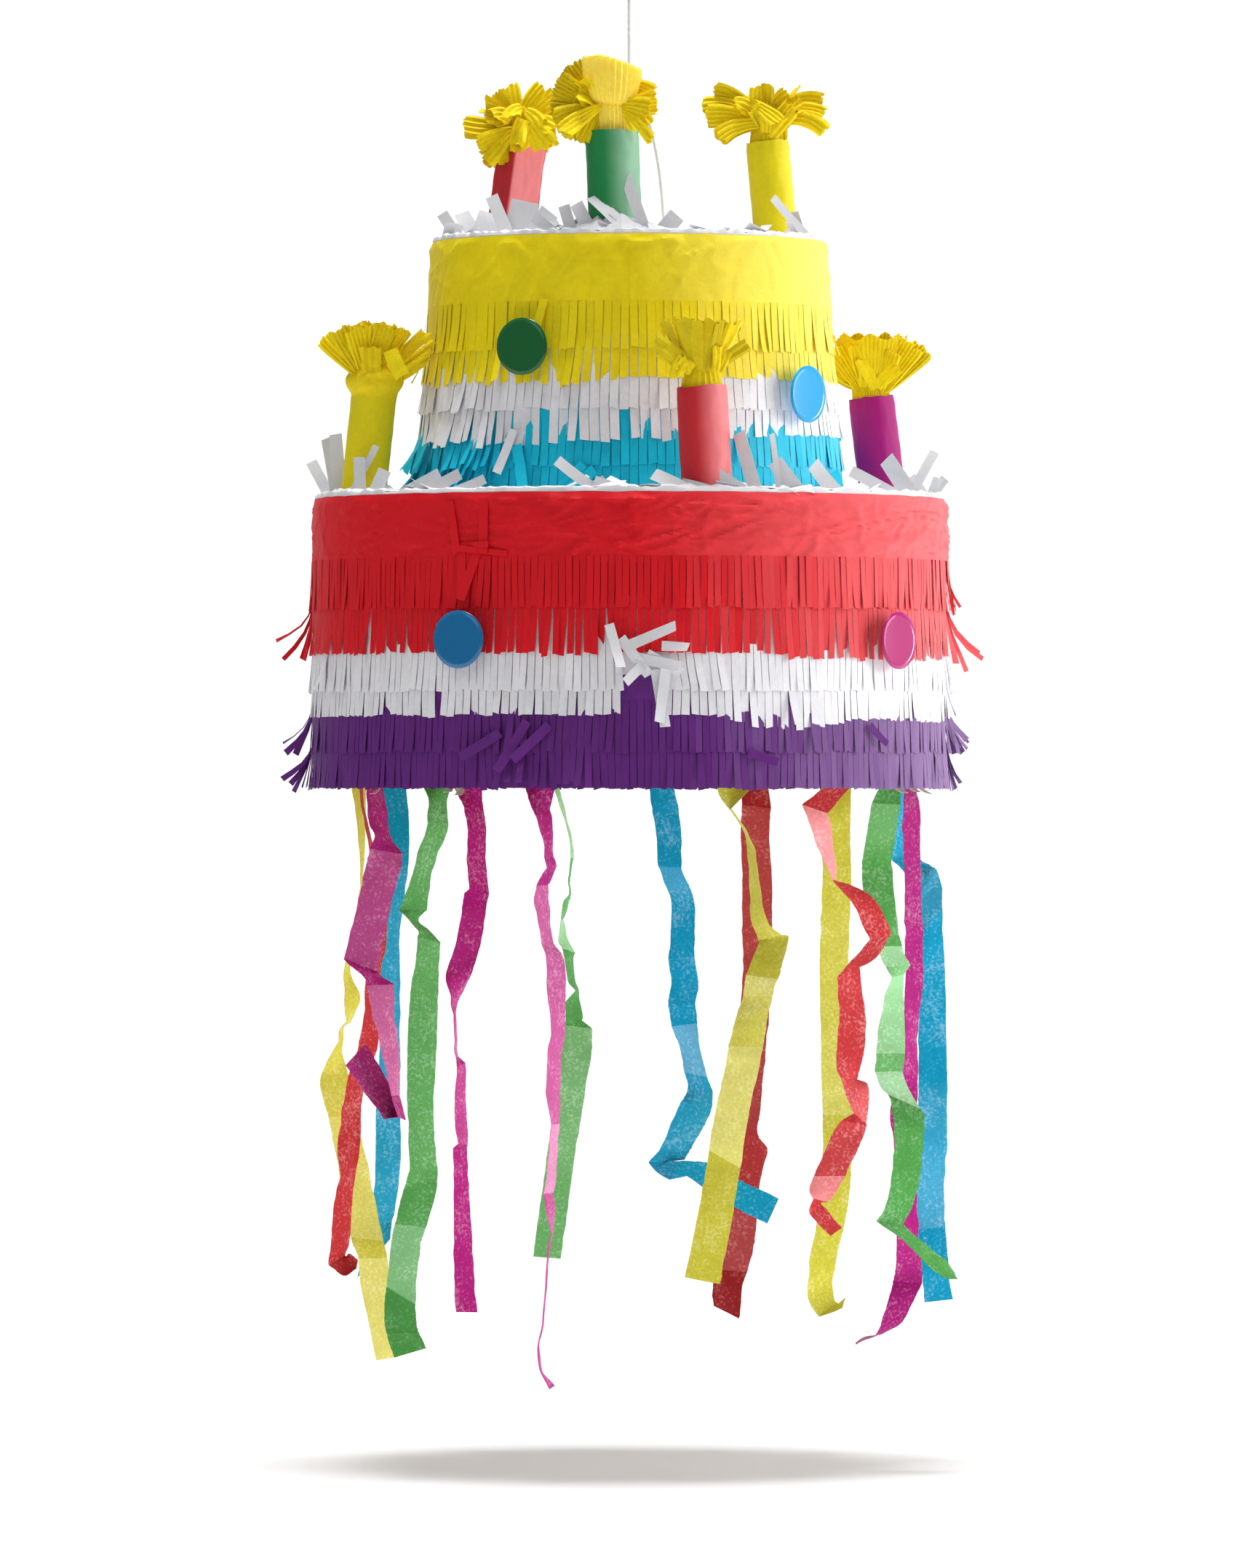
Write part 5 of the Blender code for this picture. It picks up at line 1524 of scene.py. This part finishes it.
def cords():
    """The loop through the deck with its stopper, and the line up to the eye."""
    # the loop: up through one hole of the deck, over the knot and down through the other
    low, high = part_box("hanging_loop")
    deck, foot = UPPER.top / MM, low[2] / MM
    knot_z = high[2] - 4 * MM
    points = [(LOOP_LEFT, 0, foot), (LOOP_LEFT, 0, deck), (-11.5, 0, -118), (-9, 0, -92), (-4, 0, -76),
              (0, 0, knot_z / MM - 2), (5, 0, -76), (11, 0, -92), (16, 0, -118), (LOOP_RIGHT, 0, deck),
              (LOOP_RIGHT, 0, foot)]
    path = [Vector(p) * MM for p in smooth_route(points, 14)]
    loop = twisted("hanging_loop_cord", path, CORD_R, "pinata")
    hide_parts("hanging_loop")
    loop_knot = twisted("hanging_loop_knot", knot_path(Vector((0, 0, knot_z)), LOOP_KNOT), CORD_R, "pinata")
    stopper_at = middle_of("stopper_knot")
    stopper_path = [stopper_at + Vector((x * MM, STOPPER_R * math.sin(x * 0.9), 1.4 * math.cos(x * 0.9) * MM))
                    for x in range(-17, 18)]
    stopper = twisted("stopper_knot_tie", stopper_path, STOPPER_R, "pinata")
    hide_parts("stopper_knot")

    # the line it hangs by, knotted to an eye at its top
    low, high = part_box("hanging_line")
    steps = 40
    line_path = [Vector((0, 0, low[2] + (high[2] - low[2]) * n / steps)) for n in range(steps + 1)]
    line = twisted("hanging_line_cord", line_path, CORD_R, "cord")
    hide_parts("hanging_line")
    eye_knot = twisted("eye_knot_tie", knot_path(middle_of("eye_knot"), EYE_KNOT), CORD_R * 0.9, "eye_bend")
    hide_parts("eye_knot")
    middle, ring_r = middle_of("top_eye"), half_width("top_eye") - CORD_R
    eye_path = [middle + Vector((math.sin(a), 0, -math.cos(a))) * ring_r
                for a in [math.tau * n / 60 for n in range(61)]]
    eye = twisted("top_eye_loop", eye_path, CORD_R, "hook_eye")
    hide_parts("top_eye")


# ---- carried-over card -------------------------------------------------------------------------
CARD_NODES = ("base_disc", "lower_wall", "lower_deck", "upper_wall", "upper_deck", "fill_flap", "cord_pad")


def repaint_card():
    """Gives the plain solids of the CAD that can still be seen their brown card."""
    for node in CARD_NODES:
        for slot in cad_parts[node].material_slots:
            slot.material = material("card")


# ---- stage, light and camera -------------------------------------------------------------------
FLOOR_Z = -0.792
CAMERA_DISTANCE = 5.5
VIEW_HEIGHT = 0.8193            # metres across the frame's long side at the pinata
CAMERA_X, EYE_LEVEL = -0.001, -0.436
SENSOR = 36.0                   # mm
FLOOR_R, FLOOR_FADE = 2.4, 0.9  # the floor's rim, and where it starts to fade into the white round it
FLOOR_COLOUR = (0.94, 0.94, 0.94, 1.0)
WHITE = (1.0, 1.0, 1.0, 1.0)


def floor_paint():
    """A plain pale surface that turns clear towards its rim."""
    mat = bpy.data.materials.new("pale_floor")
    mat.use_nodes = True
    tree = mat.node_tree
    shader = tree.nodes["Principled BSDF"]
    shader.inputs["Base Color"].default_value = FLOOR_COLOUR
    shader.inputs["Roughness"].default_value = 0.9
    shader.inputs["Specular IOR Level"].default_value = 0.0
    place = tree.nodes.new("ShaderNodeTexCoord")
    away = tree.nodes.new("ShaderNodeVectorMath")
    away.operation = "LENGTH"
    share = tree.nodes.new("ShaderNodeMapRange")
    share.interpolation_type = "SMOOTHSTEP"
    share.inputs["From Min"].default_value, share.inputs["From Max"].default_value = FLOOR_FADE, FLOOR_R
    clear, mix = tree.nodes.new("ShaderNodeBsdfTransparent"), tree.nodes.new("ShaderNodeMixShader")
    link(tree, place, "Object", away, 0)
    link(tree, away, "Value", share, "Value")
    link(tree, share, "Result", mix, 0)
    link(tree, shader, "BSDF", mix, 1)
    link(tree, clear, "BSDF", mix, 2)
    link(tree, mix, "Shader", tree.nodes["Material Output"], "Surface")
    return mat


def stage():
    """A pale round floor in white surroundings."""
    bm = bmesh.new()
    bmesh.ops.create_circle(bm, cap_ends=True, segments=96, radius=FLOOR_R)
    floor = placed("floor", mesh_of("floor", bm, floor_paint()))
    floor.location = (0.0, 0.0, FLOOR_Z)


# Soft lights: name, azimuth, elevation, distance m, width and height m, power W, and the height on
# the cord's line that they are placed round and aimed at.
SOFTBOXES = [
    ("key", 82.0, 12.0, 2.4, (1.5, 1.5), 37.0, -0.3), ("rim", 121.0, -4.0, 2.3, (0.7, 0.6), 14.0, -0.3),
    ("fill", -30.0, 30.0, 2.8, (1.6, 1.6), 9.0, -0.3), ("back", 180.0, 8.0, 3.0, (5.0, 2.6), 38.0, -0.3),
    ("top", 0.0, 89.9, 5.0, (1.8, 1.8), 255.0, -0.45),
]
AMBIENT, SEEN_WHITE = 0.24, 1.05    # the surroundings' strength as a light, and as a camera sees them


def softbox(name, azimuth, elevation, distance, size, power, aim):
    """A soft rectangular light that no camera sees."""
    data = bpy.data.lights.new(name, "AREA")
    data.shape = "RECTANGLE"
    data.size, data.size_y = size
    data.energy = power
    lamp = placed(name, data)
    target, rise = UP * aim, math.radians(elevation)
    lamp.location = target + (outward(azimuth) * math.cos(rise) + UP * math.sin(rise)) * distance
    lamp.rotation_euler = (target - lamp.location).to_track_quat("-Z", "Y").to_euler()
    lamp.visible_camera = False


def lights():
    """White surroundings that light the pinata only a little, and the soft lights."""
    world = bpy.data.worlds.new("studio")
    world.use_nodes = True
    tree = world.node_tree
    ambient, white = tree.nodes["Background"], tree.nodes.new("ShaderNodeBackground")
    for surround, strength in ((ambient, AMBIENT), (white, SEEN_WHITE)):
        surround.inputs["Color"].default_value = WHITE
        surround.inputs["Strength"].default_value = strength
    seen, mix = tree.nodes.new("ShaderNodeLightPath"), tree.nodes.new("ShaderNodeMixShader")
    link(tree, seen, "Is Camera Ray", mix, 0)
    link(tree, ambient, "Background", mix, 1)
    link(tree, white, "Background", mix, 2)
    link(tree, mix, "Shader", tree.nodes["World Output"], "Surface")
    bpy.context.scene.world = world
    for facts in SOFTBOXES:
        softbox(*facts)
    bpy.context.scene.view_settings.view_transform = "Standard"


def camera():
    """A level camera at the photograph's height and distance."""
    data = bpy.data.cameras.new("camera")
    data.sensor_width = SENSOR
    data.lens = SENSOR * CAMERA_DISTANCE / VIEW_HEIGHT
    data.clip_end = 50.0
    view = placed("camera", data)
    view.location = (CAMERA_X, -CAMERA_DISTANCE, EYE_LEVEL)
    view.rotation_euler = (math.pi / 2, 0.0, 0.0)
    bpy.context.scene.camera = view


camera()
cords()
repaint_card()
fringe_rows()
upper_icing()
lower_icing()
rim_hems()
standing_shreds()
knotted_scraps()
dots()
for number, facts in enumerate(CANDLES):
    candle(number, *facts)
for number, (node_name, facts) in enumerate(STREAMERS.items()):
    streamer(number, node_name, *facts)
stage()
lights()
